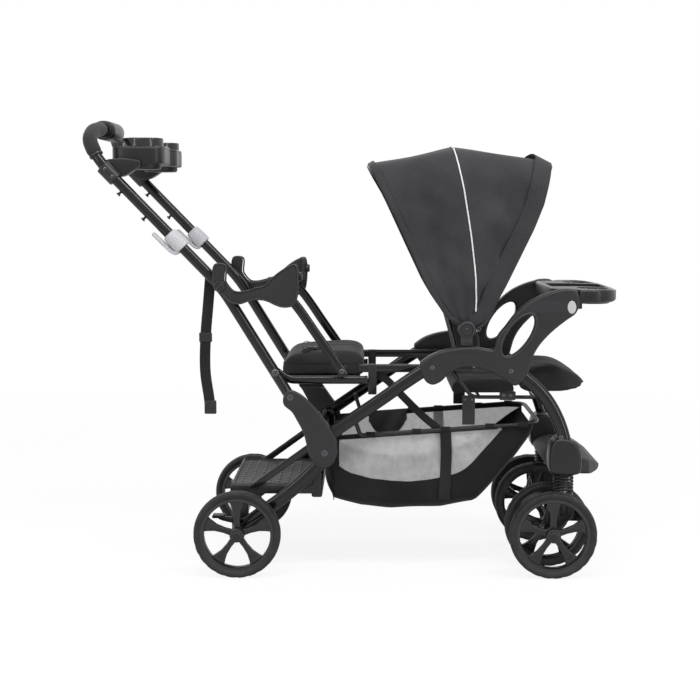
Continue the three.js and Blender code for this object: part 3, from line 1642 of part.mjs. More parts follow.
// MATERIALS, one for each finish, copied for each piece
const finishes = {
  black_tube: { color: 0x1b1b1d, roughness: 0.32, metalness: 0.25 },
  charcoal_plastic: { color: 0x3a3a3e, roughness: 0.55, metalness: 0 },
  black_plastic: { color: 0x202022, roughness: 0.45, metalness: 0 },
  grey_plastic: { color: 0x8d8d90, roughness: 0.5, metalness: 0 },
  pale_plastic: { color: 0xc9c9d2, roughness: 0.4, metalness: 0 },
  deck_grey: { color: 0x55565a, roughness: 0.7, metalness: 0 },
  tyre: { color: 0x2c2c2e, roughness: 0.85, metalness: 0 },
  foam: { color: 0x2a2b2d, roughness: 0.95, metalness: 0 },
  fabric: { color: 0x2c2c2f, roughness: 0.95, metalness: 0 },
  mesh_fabric: { color: 0x9b9b9b, roughness: 0.95, metalness: 0 },
  webbing: { color: 0x222224, roughness: 0.95, metalness: 0 },
};

const stroller = new THREE.Group();

function add(name, geometry, finish) {
  const mesh = new THREE.Mesh(geometry, new THREE.MeshStandardMaterial(finishes[finish]));
  mesh.name = name;
  stroller.add(mesh);
}

// A piece modelled at the left, with its mirror image at the right
function addPair(name, geometry, finish) {
  add(`${name}_left`, geometry, finish);
  add(`${name}_right`, mirrored(geometry), finish);
}

addPair('main_tube', mainTube(), 'black_tube');
addPair('armrest', armrest(), 'charcoal_plastic');
addPair('tray_button', trayButton(), 'grey_plastic');
addPair('rear_cover', rearCover(), 'charcoal_plastic');
addPair('front_housing', frontHousing(), 'black_plastic');
add('front_footrest', frontFootrest(), 'deck_grey');
add('seat_frame', seatFrame(), 'black_tube');
add('basket_rail', basketRail(), 'black_tube');
add('basket_tub', basketTub(), 'mesh_fabric');
add('basket_back', basketBack(), 'fabric');
add('seat_pad', seatPad(), 'fabric');
add('calf_rest', calfRest(), 'fabric');
add('backrest', backrest(), 'fabric');
addPair('canopy_hub', canopyHub(), 'charcoal_plastic');
const rearAngle = degrees(rearBowAngle);
const midAngle = degrees(midBowAngle);
const frontAngle = degrees(frontBowAngle);
add('canopy_rear_bow', bow(rearAngle, rearBowReach, 0), 'black_plastic');
add('canopy_mid_bow', bow(midAngle, midBowReach, 1), 'black_plastic');
add('canopy_front_bow', bow(frontAngle, frontBowReach, 2), 'black_plastic');
const rearPanel = canopyPanel(rearAngle, rearBowReach, midAngle - panelSplit, midBowReach);
const frontPanel = canopyPanel(midAngle + panelSplit, midBowReach, frontAngle, frontBowReach);
add('canopy_rear_panel', rearPanel, 'fabric');
add('canopy_front_panel', frontPanel, 'fabric');
add('child_tray', childTray(), 'black_plastic');
add('handle_tube', handleTube(), 'black_tube');
add('handle_grip_left', handleGrip(1), 'foam');
add('handle_grip_right', handleGrip(-1), 'foam');
add('handle_hub', handleHub(), 'black_plastic');
addPair('fold_trigger', foldTrigger(), 'pale_plastic');
add('parent_tray', parentTray(), 'black_plastic');
addPair('cradle_bracket', cradleBracket(), 'charcoal_plastic');
addPair('support_tube', supportTube(), 'black_tube');
add('bench_frame', benchFrame(), 'black_tube');
add('bench_cushion', benchCushion(), 'fabric');
add('tether_strap', tetherStrap(), 'webbing');
addPair('rear_leg', rearLeg(), 'black_tube');
add('rear_axle', rearAxle(), 'black_tube');
add('rear_platform', rearPlatform(), 'deck_grey');
addPair('brake_pedal', brakePedal(), 'black_plastic');
addPair('rear_rim', rearRim(), 'black_plastic');
addPair('rear_tyre', rearTyre(), 'tyre');
addPair('swivel_stem', swivelStem(), 'black_plastic');
addPair('front_fork', frontFork(), 'black_plastic');
addPair('front_spring', frontSpring(), 'black_plastic');
addPair('front_wheel_outer', frontWheel(trackHalf), 'tyre');
addPair('front_wheel_inner', frontWheel(trackHalf - twinSpacing), 'tyre');

console.log(`spring: least gap between curls ${springGap().toFixed(2)} mm`);

// The origin lies on the ground, half way between the back of the grips and the front of the tray
const gripBackX = handleClampX - gripReachX - gripDiameter / 2;
const trayFrontX = trayBack + trayLength;
stroller.position.x = -(gripBackX + trayFrontX) / 2;

export default stroller;
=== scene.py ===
"""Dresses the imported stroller: cloth, plastics, tubes, wheels and fittings, each riding on its CAD body.

Lengths are written in millimetres in the layout frame of the part's source, which starts at the
rear axle: +X the way it travels, +Z up, the ground at Z 0. place() turns them into row-frame metres.
"""

import math

import bmesh
import bpy
from mathutils import Matrix, Vector


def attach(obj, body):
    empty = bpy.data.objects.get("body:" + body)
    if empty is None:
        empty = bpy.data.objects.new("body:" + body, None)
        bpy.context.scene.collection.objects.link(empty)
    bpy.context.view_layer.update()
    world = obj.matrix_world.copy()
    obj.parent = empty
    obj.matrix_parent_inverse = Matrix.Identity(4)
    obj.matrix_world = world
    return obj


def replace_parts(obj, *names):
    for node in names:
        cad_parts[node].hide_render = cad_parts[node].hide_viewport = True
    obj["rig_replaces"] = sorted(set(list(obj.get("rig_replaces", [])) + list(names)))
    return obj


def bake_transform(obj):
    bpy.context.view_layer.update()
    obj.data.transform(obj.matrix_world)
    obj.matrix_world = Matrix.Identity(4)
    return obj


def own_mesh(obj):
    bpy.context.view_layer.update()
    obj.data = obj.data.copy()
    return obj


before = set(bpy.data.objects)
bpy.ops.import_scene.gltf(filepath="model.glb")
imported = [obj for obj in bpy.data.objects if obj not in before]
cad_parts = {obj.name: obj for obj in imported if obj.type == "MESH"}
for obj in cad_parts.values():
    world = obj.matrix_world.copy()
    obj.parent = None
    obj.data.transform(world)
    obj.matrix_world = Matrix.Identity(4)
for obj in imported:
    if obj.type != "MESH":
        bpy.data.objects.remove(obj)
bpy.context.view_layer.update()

MM = 0.001
SHIFT = -271.65
SIDES = {"right": -1, "left": 1}
ACROSS = Vector((0, 1, 0))
AHEAD = Vector((1, 0, 0))
UP = Vector((0, 0, 1))


def place(x, y, z):
    """A point of the layout, in millimetres, as a row-frame point in metres."""
    return Vector(((x + SHIFT) * MM, y * MM, z * MM))


# CAMERA
# Its place, turn and focal length come from the photograph's two wheel rows and its vanishing point.
CAMERA_AT = (305.0, -3568.8, 864.6)
CAMERA_PITCH = math.radians(5.73)
CAMERA_YAW = math.radians(0.737)
FOCAL_PIXELS = 1454
IMAGE_PIXELS = 700
SENSOR = 36


def new_object(name, data):
    obj = bpy.data.objects.new(name, data)
    bpy.context.scene.collection.objects.link(obj)
    return obj


def add_camera():
    data = bpy.data.cameras.new("camera")
    data.sensor_width = SENSOR
    data.lens = FOCAL_PIXELS / IMAGE_PIXELS * SENSOR
    camera = new_object("camera", data)
    camera.location = place(*CAMERA_AT)
    camera.rotation_euler = (math.pi / 2 - CAMERA_PITCH, 0, CAMERA_YAW)
    bpy.context.scene.camera = camera


# LIGHT, FLOOR AND BACKDROP
# Each lamp's place and aim in row-frame metres, its size in metres and its power in watts
LAMPS = {
    "key": ((0.5, -1.9, 3.5), (0, 0, 0.6), (6.0, 0.4), 150),
    "left": ((-3.0, -2.8, 1.5), (0, 0, 0.5), (0.24, 2.8), 26),
    "right": ((3.0, -2.8, 1.5), (0, 0, 0.5), (0.24, 2.8), 34),
    "top": ((0.2, 1.4, 3.6), (0, 0, 0.4), (3.0, 0.8), 30),
}
AMBIENT_STRENGTH = 0.42
FLOOR_REACH = 12
FLOOR_GLOW = (("From Min", 1.2), ("From Max", 3.5), ("To Min", 0.88), ("To Max", 1))


def add_lamps():
    for name, (at, aim, size, power) in LAMPS.items():
        data = bpy.data.lights.new(name, "AREA")
        data.shape = "RECTANGLE"
        data.size, data.size_y = size
        data.energy = power
        lamp = new_object(name, data)
        lamp.location = at
        lamp.rotation_euler = (Vector(aim) - Vector(at)).to_track_quat("-Z", "Y").to_euler()


def mixed(tree, factor, first, second):
    """The output of a mix of two shaders: the first at factor 0, and the second at 1."""
    mix = tree.nodes.new("ShaderNodeMixShader")
    tree.links.new(factor, mix.inputs[0])
    tree.links.new(first.outputs[0], mix.inputs[1])
    tree.links.new(second.outputs[0], mix.inputs[2])
    return mix.outputs[0]


def white_to_camera(tree, surface, background):
    """Shows a plain white where the camera or a reflection looks, and lights with the given surface."""
    path = tree.nodes.new("ShaderNodeLightPath")
    seen = path.outputs["Is Camera Ray"]
    for other in ("Is Glossy Ray", "Is Transmission Ray"):
        either = tree.nodes.new("ShaderNodeMath")
        either.operation = "MAXIMUM"
        tree.links.new(seen, either.inputs[0])
        tree.links.new(path.outputs[other], either.inputs[1])
        seen = either.outputs[0]
    return mixed(tree, seen, surface, background)


def add_world():
    world = bpy.data.worlds.new("studio")
    bpy.context.scene.world = world
    world.use_nodes = True
    tree = world.node_tree
    ambient = tree.nodes["Background"]
    ambient.inputs["Color"].default_value = (1, 1, 1, 1)
    ambient.inputs["Strength"].default_value = AMBIENT_STRENGTH
    white = tree.nodes.new("ShaderNodeBackground")
    white.inputs["Color"].default_value = (1, 1, 1, 1)
    white.inputs["Strength"].default_value = 1
    shown = white_to_camera(tree, ambient, white)
    tree.links.new(shown, tree.nodes["World Output"].inputs["Surface"])


def add_floor():
    """A large white floor that shadows fall on, and that glows a little less near the stroller."""
    corners = [(x * FLOOR_REACH, y * FLOOR_REACH, 0) for x, y in ((-1, -1), (1, -1), (1, 1), (-1, 1))]
    floor = bpy.data.meshes.new("floor")
    floor.from_pydata(corners, [], [(0, 1, 2, 3)])
    ground = new_object("floor", floor)
    paint = bpy.data.materials.new("floor_white")
    paint.use_nodes = True
    tree = paint.node_tree
    surface = tree.nodes["Principled BSDF"]
    surface.inputs["Base Color"].default_value = (0.9, 0.9, 0.9, 1)
    surface.inputs["Roughness"].default_value = 0.8
    glow = tree.nodes.new("ShaderNodeEmission")
    glow.inputs["Strength"].default_value = 1
    path = tree.nodes.new("ShaderNodeLightPath")
    spot = tree.nodes.new("ShaderNodeTexCoord")
    away = tree.nodes.new("ShaderNodeVectorMath")
    away.operation = "LENGTH"
    tree.links.new(spot.outputs["Object"], away.inputs[0])
    share = tree.nodes.new("ShaderNodeMapRange")
    for socket, value in FLOOR_GLOW:
        share.inputs[socket].default_value = value
    tree.links.new(away.outputs["Value"], share.inputs["Value"])
    part = tree.nodes.new("ShaderNodeMath")
    part.operation = "MULTIPLY"
    tree.links.new(path.outputs["Is Camera Ray"], part.inputs[0])
    tree.links.new(share.outputs["Result"], part.inputs[1])
    shown = mixed(tree, part.outputs[0], surface, glow)
    tree.links.new(shown, tree.nodes["Material Output"].inputs["Surface"])
    floor.materials.append(paint)


add_camera()
add_world()
add_lamps()
add_floor()
bpy.context.scene.view_settings.view_transform = "Standard"


# MATERIALS
class Paint:
    """A node material with a Principled shader, and the few node steps that the finishes share."""

    def __init__(self, name, colour, roughness, **sockets):
        self.material = bpy.data.materials.new(name)
        self.material.use_nodes = True
        self.tree = self.material.node_tree
        self.shader = self.tree.nodes["Principled BSDF"]
        self.shader.inputs["Base Color"].default_value = (*colour, 1)
        self.shader.inputs["Roughness"].default_value = roughness
        for socket, value in sockets.items():
            self.shader.inputs[socket.replace("_", " ")].default_value = value
        self.coords = self.node("ShaderNodeTexCoord").outputs["Object"]

    def node(self, kind, **settings):
        made = self.tree.nodes.new(kind)
        for key, value in settings.items():
            setattr(made, key, value)
        return made

    def link(self, source, target):
        self.tree.links.new(source, target)

    def noise(self, scale, detail=3, stretch=(1, 1, 1)):
        mapping = self.node("ShaderNodeMapping")
        mapping.inputs["Scale"].default_value = stretch
        self.link(self.coords, mapping.inputs["Vector"])
        texture = self.node("ShaderNodeTexNoise")
        texture.inputs["Scale"].default_value = scale
        texture.inputs["Detail"].default_value = detail
        self.link(mapping.outputs[0], texture.inputs["Vector"])
        return texture.outputs["Fac"]

    def wave(self, scale, direction):
        texture = self.node("ShaderNodeTexWave", bands_direction=direction)
        texture.inputs["Scale"].default_value = scale
        texture.inputs["Distortion"].default_value = 0
        self.link(self.coords, texture.inputs["Vector"])
        return texture.outputs["Fac"]

    def maths(self, operation, first, second):
        step = self.node("ShaderNodeMath", operation=operation)
        for slot, value in enumerate((first, second)):
            if isinstance(value, (int, float)):
                step.inputs[slot].default_value = value
            else:
                self.link(value, step.inputs[slot])
        return step.outputs[0]

    def between(self, factor, low, high):
        """A colour ramp from low to high along a factor."""
        ramp = self.node("ShaderNodeValToRGB")
        ramp.color_ramp.elements[0].color = (*low, 1)
        ramp.color_ramp.elements[1].color = (*high, 1)
        self.link(factor, ramp.inputs["Fac"])
        return ramp

    def colour_by(self, factor, low, high, start=0.3, end=0.7):
        ramp = self.between(factor, low, high)
        ramp.color_ramp.elements[0].position = start
        ramp.color_ramp.elements[1].position = end
        self.link(ramp.outputs["Color"], self.shader.inputs["Base Color"])

    def roughness_by(self, factor, low, high):
        step = self.node("ShaderNodeMapRange")
        step.inputs["To Min"].default_value = low
        step.inputs["To Max"].default_value = high
        self.link(factor, step.inputs["Value"])
        self.link(step.outputs["Result"], self.shader.inputs["Roughness"])

    def bump(self, factor, depth):
        step = self.node("ShaderNodeBump")
        step.inputs["Distance"].default_value = depth * MM
        step.inputs["Strength"].default_value = 1
        self.link(factor, step.inputs["Height"])
        self.link(step.outputs["Normal"], self.shader.inputs["Normal"])


def worn_edges(paint, low, high):
    """Lightens the convex edges a little, as rubbed plastic and paint do."""
    sharp = paint.node("ShaderNodeNewGeometry").outputs["Pointiness"]
    grain = paint.noise(60, 2)
    share = paint.maths("ADD", sharp, paint.maths("MULTIPLY", paint.maths("SUBTRACT", grain, 0.5), 0.02))
    paint.colour_by(share, low, high, 0.5, 0.6)


def gloss_tube():
    paint = Paint("gloss_black_tube", (0.003, 0.003, 0.0035), 0.12, Specular_IOR_Level=0.34)
    worn_edges(paint, (0.003, 0.003, 0.0035), (0.008, 0.008, 0.009))
    paint.roughness_by(paint.noise(26, 3), 0.1, 0.19)
    paint.bump(paint.noise(240, 1), 0.0015)
    return paint.material


def plastic(name, low, high, roughness, grain, shine=0.3):
    """Moulded plastic: a fine spark-eroded grain, faint cloudiness and slightly rubbed edges."""
    paint = Paint(name, low, roughness, Specular_IOR_Level=shine)
    worn_edges(paint, low, high)
    paint.roughness_by(paint.noise(18, 4), roughness - 0.07, roughness + 0.1)
    paint.bump(paint.noise(1500, 2), grain)
    return paint.material


def foam():
    paint = Paint("foam_grip", (0.012, 0.012, 0.0125), 0.85, Specular_IOR_Level=0.2, Sheen_Weight=0.12,
                  Sheen_Roughness=0.5)
    paint.colour_by(paint.noise(420, 4), (0.009, 0.009, 0.0095), (0.03, 0.03, 0.032))
    paint.bump(paint.noise(700, 3), 0.25)
    return paint.material


def tyre_rubber():
    paint = Paint("tyre_rubber", (0.008, 0.008, 0.0085), 0.6, Specular_IOR_Level=0.3)
    paint.colour_by(paint.noise(34, 5), (0.007, 0.007, 0.0075), (0.016, 0.016, 0.017))
    paint.roughness_by(paint.noise(60, 4), 0.46, 0.7)
    paint.bump(paint.noise(1100, 2), 0.05)
    return paint.material


BAND_SPAN = 0.314159
NET_PITCH, NET_THREAD, NET_FILM = 0.0021, 0.42, 0.28


def woven(name, low, high, pitch, roughness=0.85, sheen=0.1, heather=0.5):
    """Woven cloth: two sets of threads, a heathered thread colour and slow unevenness.
    A wave texture repeats every BAND_SPAN metres at scale 1, and pitch is the millimetres of one radian."""
    paint = Paint(name, low, roughness, Specular_IOR_Level=0.12, Sheen_Weight=sheen, Sheen_Roughness=0.45)
    turns = 1000 / pitch / (2 * math.pi) * BAND_SPAN
    warp = paint.maths("MULTIPLY", paint.wave(turns, "X"), paint.wave(turns, "Y"))
    weft = paint.wave(turns, "Z")
    weave = paint.maths("ADD", paint.maths("MULTIPLY", warp, 0.5), paint.maths("MULTIPLY", weft, 0.5))
    threads = paint.noise(520, 2, (1, 1, 3))
    slow = paint.noise(9, 3)
    share = paint.maths("ADD", paint.maths("MULTIPLY", threads, heather),
                        paint.maths("MULTIPLY", slow, 1 - heather))
    paint.colour_by(share, low, high, 0.34, 0.66)
    paint.bump(paint.maths("ADD", weave, paint.maths("MULTIPLY", threads, 0.6)), 0.12)
    return paint.material


def mesh_cloth():
    """Open net: two sets of pale threads, along the way of travel and round the tub, with holes between."""
    paint = Paint("mesh_cloth", (0.42, 0.42, 0.425), 0.7, Specular_IOR_Level=0.2)
    parts = paint.node("ShaderNodeSeparateXYZ")
    paint.link(paint.coords, parts.inputs[0])
    girth = paint.maths("ADD", parts.outputs["Y"], parts.outputs["Z"])
    turns = 2 * math.pi / NET_PITCH
    warp, weft = (paint.maths("SINE", paint.maths("MULTIPLY", run, turns),
                              0.0) for run in (parts.outputs["X"], girth))
    thread = paint.maths("MAXIMUM", paint.maths("MAXIMUM", warp, weft), 0.0)
    cover = paint.maths("ADD", paint.maths("MULTIPLY", thread, NET_THREAD), NET_FILM)
    paint.link(cover, paint.shader.inputs["Alpha"])
    paint.colour_by(paint.noise(70, 2), (0.39, 0.39, 0.394), (0.47, 0.47, 0.475))
    return paint.material


def metal(name, colour, roughness):
    paint = Paint(name, colour, roughness, Metallic=1.0)
    paint.roughness_by(paint.noise(140, 3), roughness - 0.08, roughness + 0.12)
    return paint.material


PAINTS = {
    "tube": gloss_tube(),
    "charcoal": plastic("charcoal_plastic", (0.0105, 0.0105, 0.0115), (0.03, 0.03, 0.033), 0.4, 0.03),
    "black": plastic("black_plastic", (0.006, 0.006, 0.0065), (0.018, 0.018, 0.02), 0.34, 0.02),
    "gloss": plastic("gloss_black_plastic", (0.004, 0.004, 0.0045), (0.013, 0.013, 0.014), 0.16, 0.006,
                     0.42),
    "grey": plastic("grey_plastic", (0.36, 0.36, 0.365), (0.5, 0.5, 0.51), 0.4, 0.02),
    "pale": plastic("pale_plastic", (0.38, 0.38, 0.405), (0.41, 0.41, 0.435), 0.36, 0.0),
    "deck": plastic("deck_plastic", (0.018, 0.018, 0.0195), (0.045, 0.045, 0.048), 0.55, 0.06),
    "foam": foam(),
    "tyre": tyre_rubber(),
    "canopy": woven("canopy_cloth", (0.02, 0.0196, 0.0218), (0.044, 0.0432, 0.047), 0.9),
    "fabric": woven("black_cloth", (0.0055, 0.0055, 0.006), (0.013, 0.013, 0.014), 0.9),
    "pad": woven("pad_cloth", (0.013, 0.013, 0.0138), (0.031, 0.031, 0.033), 1.1, 0.8, 0.16),
    "binding": woven("binding_cloth", (0.005, 0.005, 0.0055), (0.013, 0.013, 0.014), 0.6, 0.7),
    "piping": woven("pale_piping", (0.5, 0.5, 0.49), (0.7, 0.7, 0.68), 0.5, 0.6),
    "webbing": woven("webbing", (0.0055, 0.0055, 0.006), (0.015, 0.015, 0.016), 1.6, 0.6, 0.1, 0.3),
    "lining": woven("grey_lining", (0.05, 0.05, 0.052), (0.09, 0.09, 0.093), 0.8, 0.8),
    "mesh": mesh_cloth(),
    "steel": metal("zinc_steel", (0.42, 0.42, 0.43), 0.34),
    "bolt": metal("blackened_steel", (0.08, 0.08, 0.085), 0.3),
}


# SHAPES
def finish_mesh(obj, paint, body, slot=None, sharp=40, parts=()):
    """Smooth shading with kept edges, a finish, and the body that the piece rides on."""
    shaded(obj.data, sharp)
    obj.data.materials.clear()
    obj.data.materials.append(PAINTS[paint])
    if body:
        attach(obj, body)
    if parts:
        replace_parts(obj, *parts)
    return obj


def shaded(mesh, sharp):
    """Smooth shading, but for the edges that turn by more than sharp degrees."""
    for polygon in mesh.polygons:
        polygon.use_smooth = True
    mesh.set_sharp_from_angle(angle=math.radians(sharp))


def outward(mesh, weld=None):
    """Turns the faces of a closed mesh outwards, after points closer than weld are made one."""
    work = bmesh.new()
    work.from_mesh(mesh)
    if weld:
        bmesh.ops.remove_doubles(work, verts=work.verts, dist=weld)
    bmesh.ops.recalc_face_normals(work, faces=work.faces)
    work.to_mesh(mesh)
    work.free()


def mesh_object(name, points, faces):
    """A closed mesh from layout points."""
    mesh = bpy.data.meshes.new(name)
    mesh.from_pydata([place(*point) for point in points], [], faces)
    outward(mesh)
    return new_object(name, mesh)


def grid_object(name, rows):
    """A skin over closed rows of points, with a cap at both ends."""
    count = len(rows[0])
    points = [point for row in rows for point in row]
    faces = []
    for row in range(len(rows) - 1):
        for step in range(count):
            here = row * count + step
            beside = row * count + (step + 1) % count
            faces.append((here, beside, beside + count, here + count))
    faces.append(tuple(range(count))[::-1])
    faces.append(tuple((len(rows) - 1) * count + step for step in range(count)))
    return mesh_object(name, points, faces)


def wrapped_faces(rows, count, closed=True):
    """Faces between rows of points that stand round a circle. Closed says whether a row closes on itself."""
    faces = []
    for row in range(rows):
        other = (row + 1) % rows
        for step in range(count if closed else count - 1):
            beside = (step + 1) % count
            faces.append((row * count + step, row * count + beside, other * count + beside,
                          other * count + step))
    return faces


def curved(points, count, closed=False):
    """A centripetal spline through a few points."""
    points = [Vector(point) for point in points]
    if closed:
        points = [points[-1], *points, points[0], points[1]]
    else:
        points = [2 * points[0] - points[1], *points, 2 * points[-1] - points[-2]]
    spans = len(points) - 3
    made = []
    for number in range(count + (0 if closed else 1)):
        where = number / count * spans
        span = min(int(where), spans - 1)
        share = where - span
        a, b, c, d = points[span:span + 4]
        t0, t1 = 0.0, max((b - a).length, 1e-9) ** 0.5
        t2 = t1 + max((c - b).length, 1e-9) ** 0.5
        t3 = t2 + max((d - c).length, 1e-9) ** 0.5
        t = t1 + share * (t2 - t1)
        ab = a.lerp(b, (t - t0) / (t1 - t0))
        bc = b.lerp(c, (t - t1) / (t2 - t1))
        cd = c.lerp(d, (t - t2) / (t3 - t2))
        abc = ab.lerp(bc, (t - t0) / (t2 - t0))
        bcd = bc.lerp(cd, (t - t1) / (t3 - t1))
        made.append(abc.lerp(bcd, (t - t1) / (t2 - t1)))
    return made


def bent(points, bend, steps=10):
    """Straight runs between points, with each corner rounded over a length called bend."""
    points = [Vector(point) for point in points]
    run = [points[0]]
    for before, here, after in zip(points, points[1:], points[2:]):
        back, on = before - here, after - here
        reach = min(bend, back.length / 2, on.length / 2)
        enter, leave = here + back.normalized() * reach, here + on.normalized() * reach
        for step in range(steps + 1):
            share = step / steps
            run.append(enter.lerp(here, share).lerp(here.lerp(leave, share), share))
    run.append(points[-1])
    kept = [run[0]]
    for point in run[1:]:
        if (point - kept[-1]).length > 0.01:
            kept.append(point)
    return kept


def rings(points, section, side=None):
    """The section, a list of (along side, square to it), at each point of a run."""
    points = [Vector(point) for point in points]
    guide = Vector(side) if side else None
    rows = []
    for number, point in enumerate(points):
        before = points[max(number - 1, 0)]
        after = points[min(number + 1, len(points) - 1)]
        tangent = (after - before).normalized()
        if guide is None:
            guide = ACROSS if abs(tangent.y) < 0.7 else UP
        first = (guide - tangent * guide.dot(tangent)).normalized()
        second = tangent.cross(first)
        shape = section(number / (len(points) - 1)) if callable(section) else section
        rows.append([point + first * a + second * b for a, b in shape])
        guide = Vector(side) if side else first
    return rows


def oval(width, depth, sides=20):
    turns = [step / sides * 2 * math.pi for step in range(sides)]
    return [(width / 2 * math.cos(turn), depth / 2 * math.sin(turn)) for turn in turns]


def rounded(width, depth, corner, steps=4):
    """A rectangle with round corners."""
    made = []
    for quarter, (a, b) in enumerate(((1, 1), (-1, 1), (-1, -1), (1, -1))):
        for step in range(steps + 1):
            turn = (quarter + step / steps) * math.pi / 2
            made.append((a * (width / 2 - corner) + corner * math.cos(turn),
                         b * (depth / 2 - corner) + corner * math.sin(turn)))
    return made


def skin(name, points, section, paint, body, side=None, **facts):
    """A finished piece with one section along a run of points."""
    return finish_mesh(grid_object(name, rings(points, section, side)), paint, body, **facts)


def tube(name, points, width, depth, paint, body, side=None, sides=20, **facts):
    return skin(name, points, oval(width, depth, sides), paint, body, side, **facts)


def cord(name, loop, width, depth, paint, body, **facts):
    """A thin raised line round a closed loop of points."""
    return tube(name, loop + loop[:2], width, depth, paint, body, sides=10, **facts)


def band(name, points, width, thick, paint, body, side, **facts):
    """A flat strap along a run; width lies along side."""
    return skin(name, points, rounded(width, thick, thick * 0.45, 2), paint, body, side, **facts)


def spread(shares, corner, length, height):
    return [(corner[0] + x * length, corner[1] + z * height) for x, z in shares]


WELD = 0.00001


def plate(name, outline, near, far, edge, paint, body, holes=(), flat="side", steps=3, **facts):
    """An outline with rounded rims. Flat says whether it is drawn in the side view or from above."""
    data = bpy.data.curves.new(name, "CURVE")
    data.dimensions = "2D"
    data.fill_mode = "BOTH"
    data.extrude = max((abs(far - near) / 2 - edge) * MM, 0)
    data.bevel_depth = edge * MM
    data.bevel_resolution = steps
    data.offset = -edge * MM
    for loop in (outline, *holes):
        spline = data.splines.new("POLY")
        spline.points.add(len(loop) - 1)
        spline.use_cyclic_u = True
        for target, point in zip(spline.points, loop):
            target.co = (point[0] * MM, point[1] * MM, 0, 1)
    drawn = new_object(name, data)
    mesh = evaluated_mesh(drawn)
    bpy.data.objects.remove(drawn)
    turn = Matrix.Rotation(math.pi / 2, 4, "X") if flat == "side" else Matrix.Identity(4)
    middle = (near + far) / 2 * MM
    lift = Vector((SHIFT * MM, middle, 0)) if flat == "side" else Vector((SHIFT * MM, 0, middle))
    mesh.transform(Matrix.Translation(lift) @ turn)
    outward(mesh, WELD)
    mesh.name = name
    return finish_mesh(new_object(name, mesh), paint, body, **facts)


def smooth_loop(points, count):
    return [(point.x, point.y) for point in curved([(x, z, 0) for x, z in points], count, closed=True)]


def ellipse(x, z, long, short, tilt=0.0, count=48):
    made = []
    for step in range(count):
        turn = step / count * 2 * math.pi
        a, b = long / 2 * math.cos(turn), short / 2 * math.sin(turn)
        made.append((x + a * math.cos(tilt) - b * math.sin(tilt),
                     z + a * math.sin(tilt) + b * math.cos(tilt)))
    return made


def turned(name, profile, centre, axis, paint, body, segments=48, **facts):
    """A shape turned about an axis through centre. The profile is (along the axis, radius)."""
    axis = Vector(axis).normalized()
    first = axis.orthogonal().normalized()
    second = axis.cross(first)
    centre = Vector(centre)
    closed = profile[0] == profile[-1]
    shape = profile[:-1] if closed else profile
    rows = []
    for step in range(segments):
        turn = step / segments * 2 * math.pi
        arm = first * math.cos(turn) + second * math.sin(turn)
        rows.append([centre + axis * along + arm * max(radius, 0.02) for along, radius in shape])
    count = len(shape)
    faces = wrapped_faces(segments, count, closed)
    if not closed:
        faces.append(tuple(row * count for row in range(segments)))
        faces.append(tuple(row * count + count - 1 for row in range(segments))[::-1])
    obj = mesh_object(name, [point for row in rows for point in row], faces)
    return finish_mesh(obj, paint, body, **facts)


def block(name, low, high, edge, paint, body, steps=3, **facts):
    """A box with rounded edges."""
    mesh = bpy.data.meshes.new(name)
    work = bmesh.new()
    bmesh.ops.create_cube(work, size=1)
    low, high = place(*low), place(*high)
    for vert in work.verts:
        vert.co = Vector((low[k] + (vert.co[k] + 0.5) * (high[k] - low[k]) for k in range(3)))
    bmesh.ops.bevel(work, geom=work.edges, offset=edge * MM, segments=steps, profile=0.5, affect="EDGES")
    work.to_mesh(mesh)
    work.free()
    return finish_mesh(new_object(name, mesh), paint, body, **facts)


def screw(name, x, y, z, diameter, body, side, paint="bolt"):
    """A low domed screw head with a round recess, facing sideways."""
    radius = diameter / 2
    profile = [(-1.2, radius), (0.3, radius), (0.9, radius * 0.8), (1.2, radius * 0.34),
               (0.2, radius * 0.26), (0.1, 0)]
    return turned(name, profile, (x, y, z), (0, side, 0), paint, body, 24)


def pin(name, hinge, start, radius, length, body, side):
    """A plain pin through a hinge, from start outwards."""
    at = (hinge[0], side * start, hinge[1])
    return turned(name, [(0, radius), (length, radius)], at, (0, side, 0), "bolt", body, 20)


def joined(name, objects):
    """Several pieces of one finish made into one, with the first one's body and the replaced nodes of them
    all.
    """
    replaced = sorted({node for obj in objects for node in obj.get("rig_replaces", [])})
    bpy.ops.object.select_all(action="DESELECT")
    for obj in objects:
        obj.select_set(True)
    bpy.context.view_layer.objects.active = objects[0]
    bpy.ops.object.join()
    made = objects[0]
    made.name = name
    if replaced:
        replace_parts(made, *replaced)
    return made


def evaluated_mesh(obj):
    """A piece's mesh with its modifiers applied."""
    return bpy.data.meshes.new_from_object(obj.evaluated_get(bpy.context.evaluated_depsgraph_get()))


def combined(target, tool, operation="DIFFERENCE"):
    """Cuts a piece with another by an exact boolean, and removes the other."""
    modifier = target.modifiers.new("cut", "BOOLEAN")
    modifier.operation = operation
    modifier.solver = "EXACT"
    modifier.object = tool
    mesh = evaluated_mesh(target)
    target.modifiers.clear()
    target.data = mesh
    bpy.data.objects.remove(tool)
    shaded(mesh, 35)


def bored(target, radius, start, end, at, axis, segments=32):
    """Cuts a round hole, from start to end along an axis through a point."""
    combined(target, turned("bore_tool", [(start, radius), (end, radius)], at, axis, "black", None,
                            segments))


def carved(target, low, high, edge):
    """Cuts a box with rounded edges out of a piece."""
    combined(target, block("box_tool", low, high, edge, "black", None))


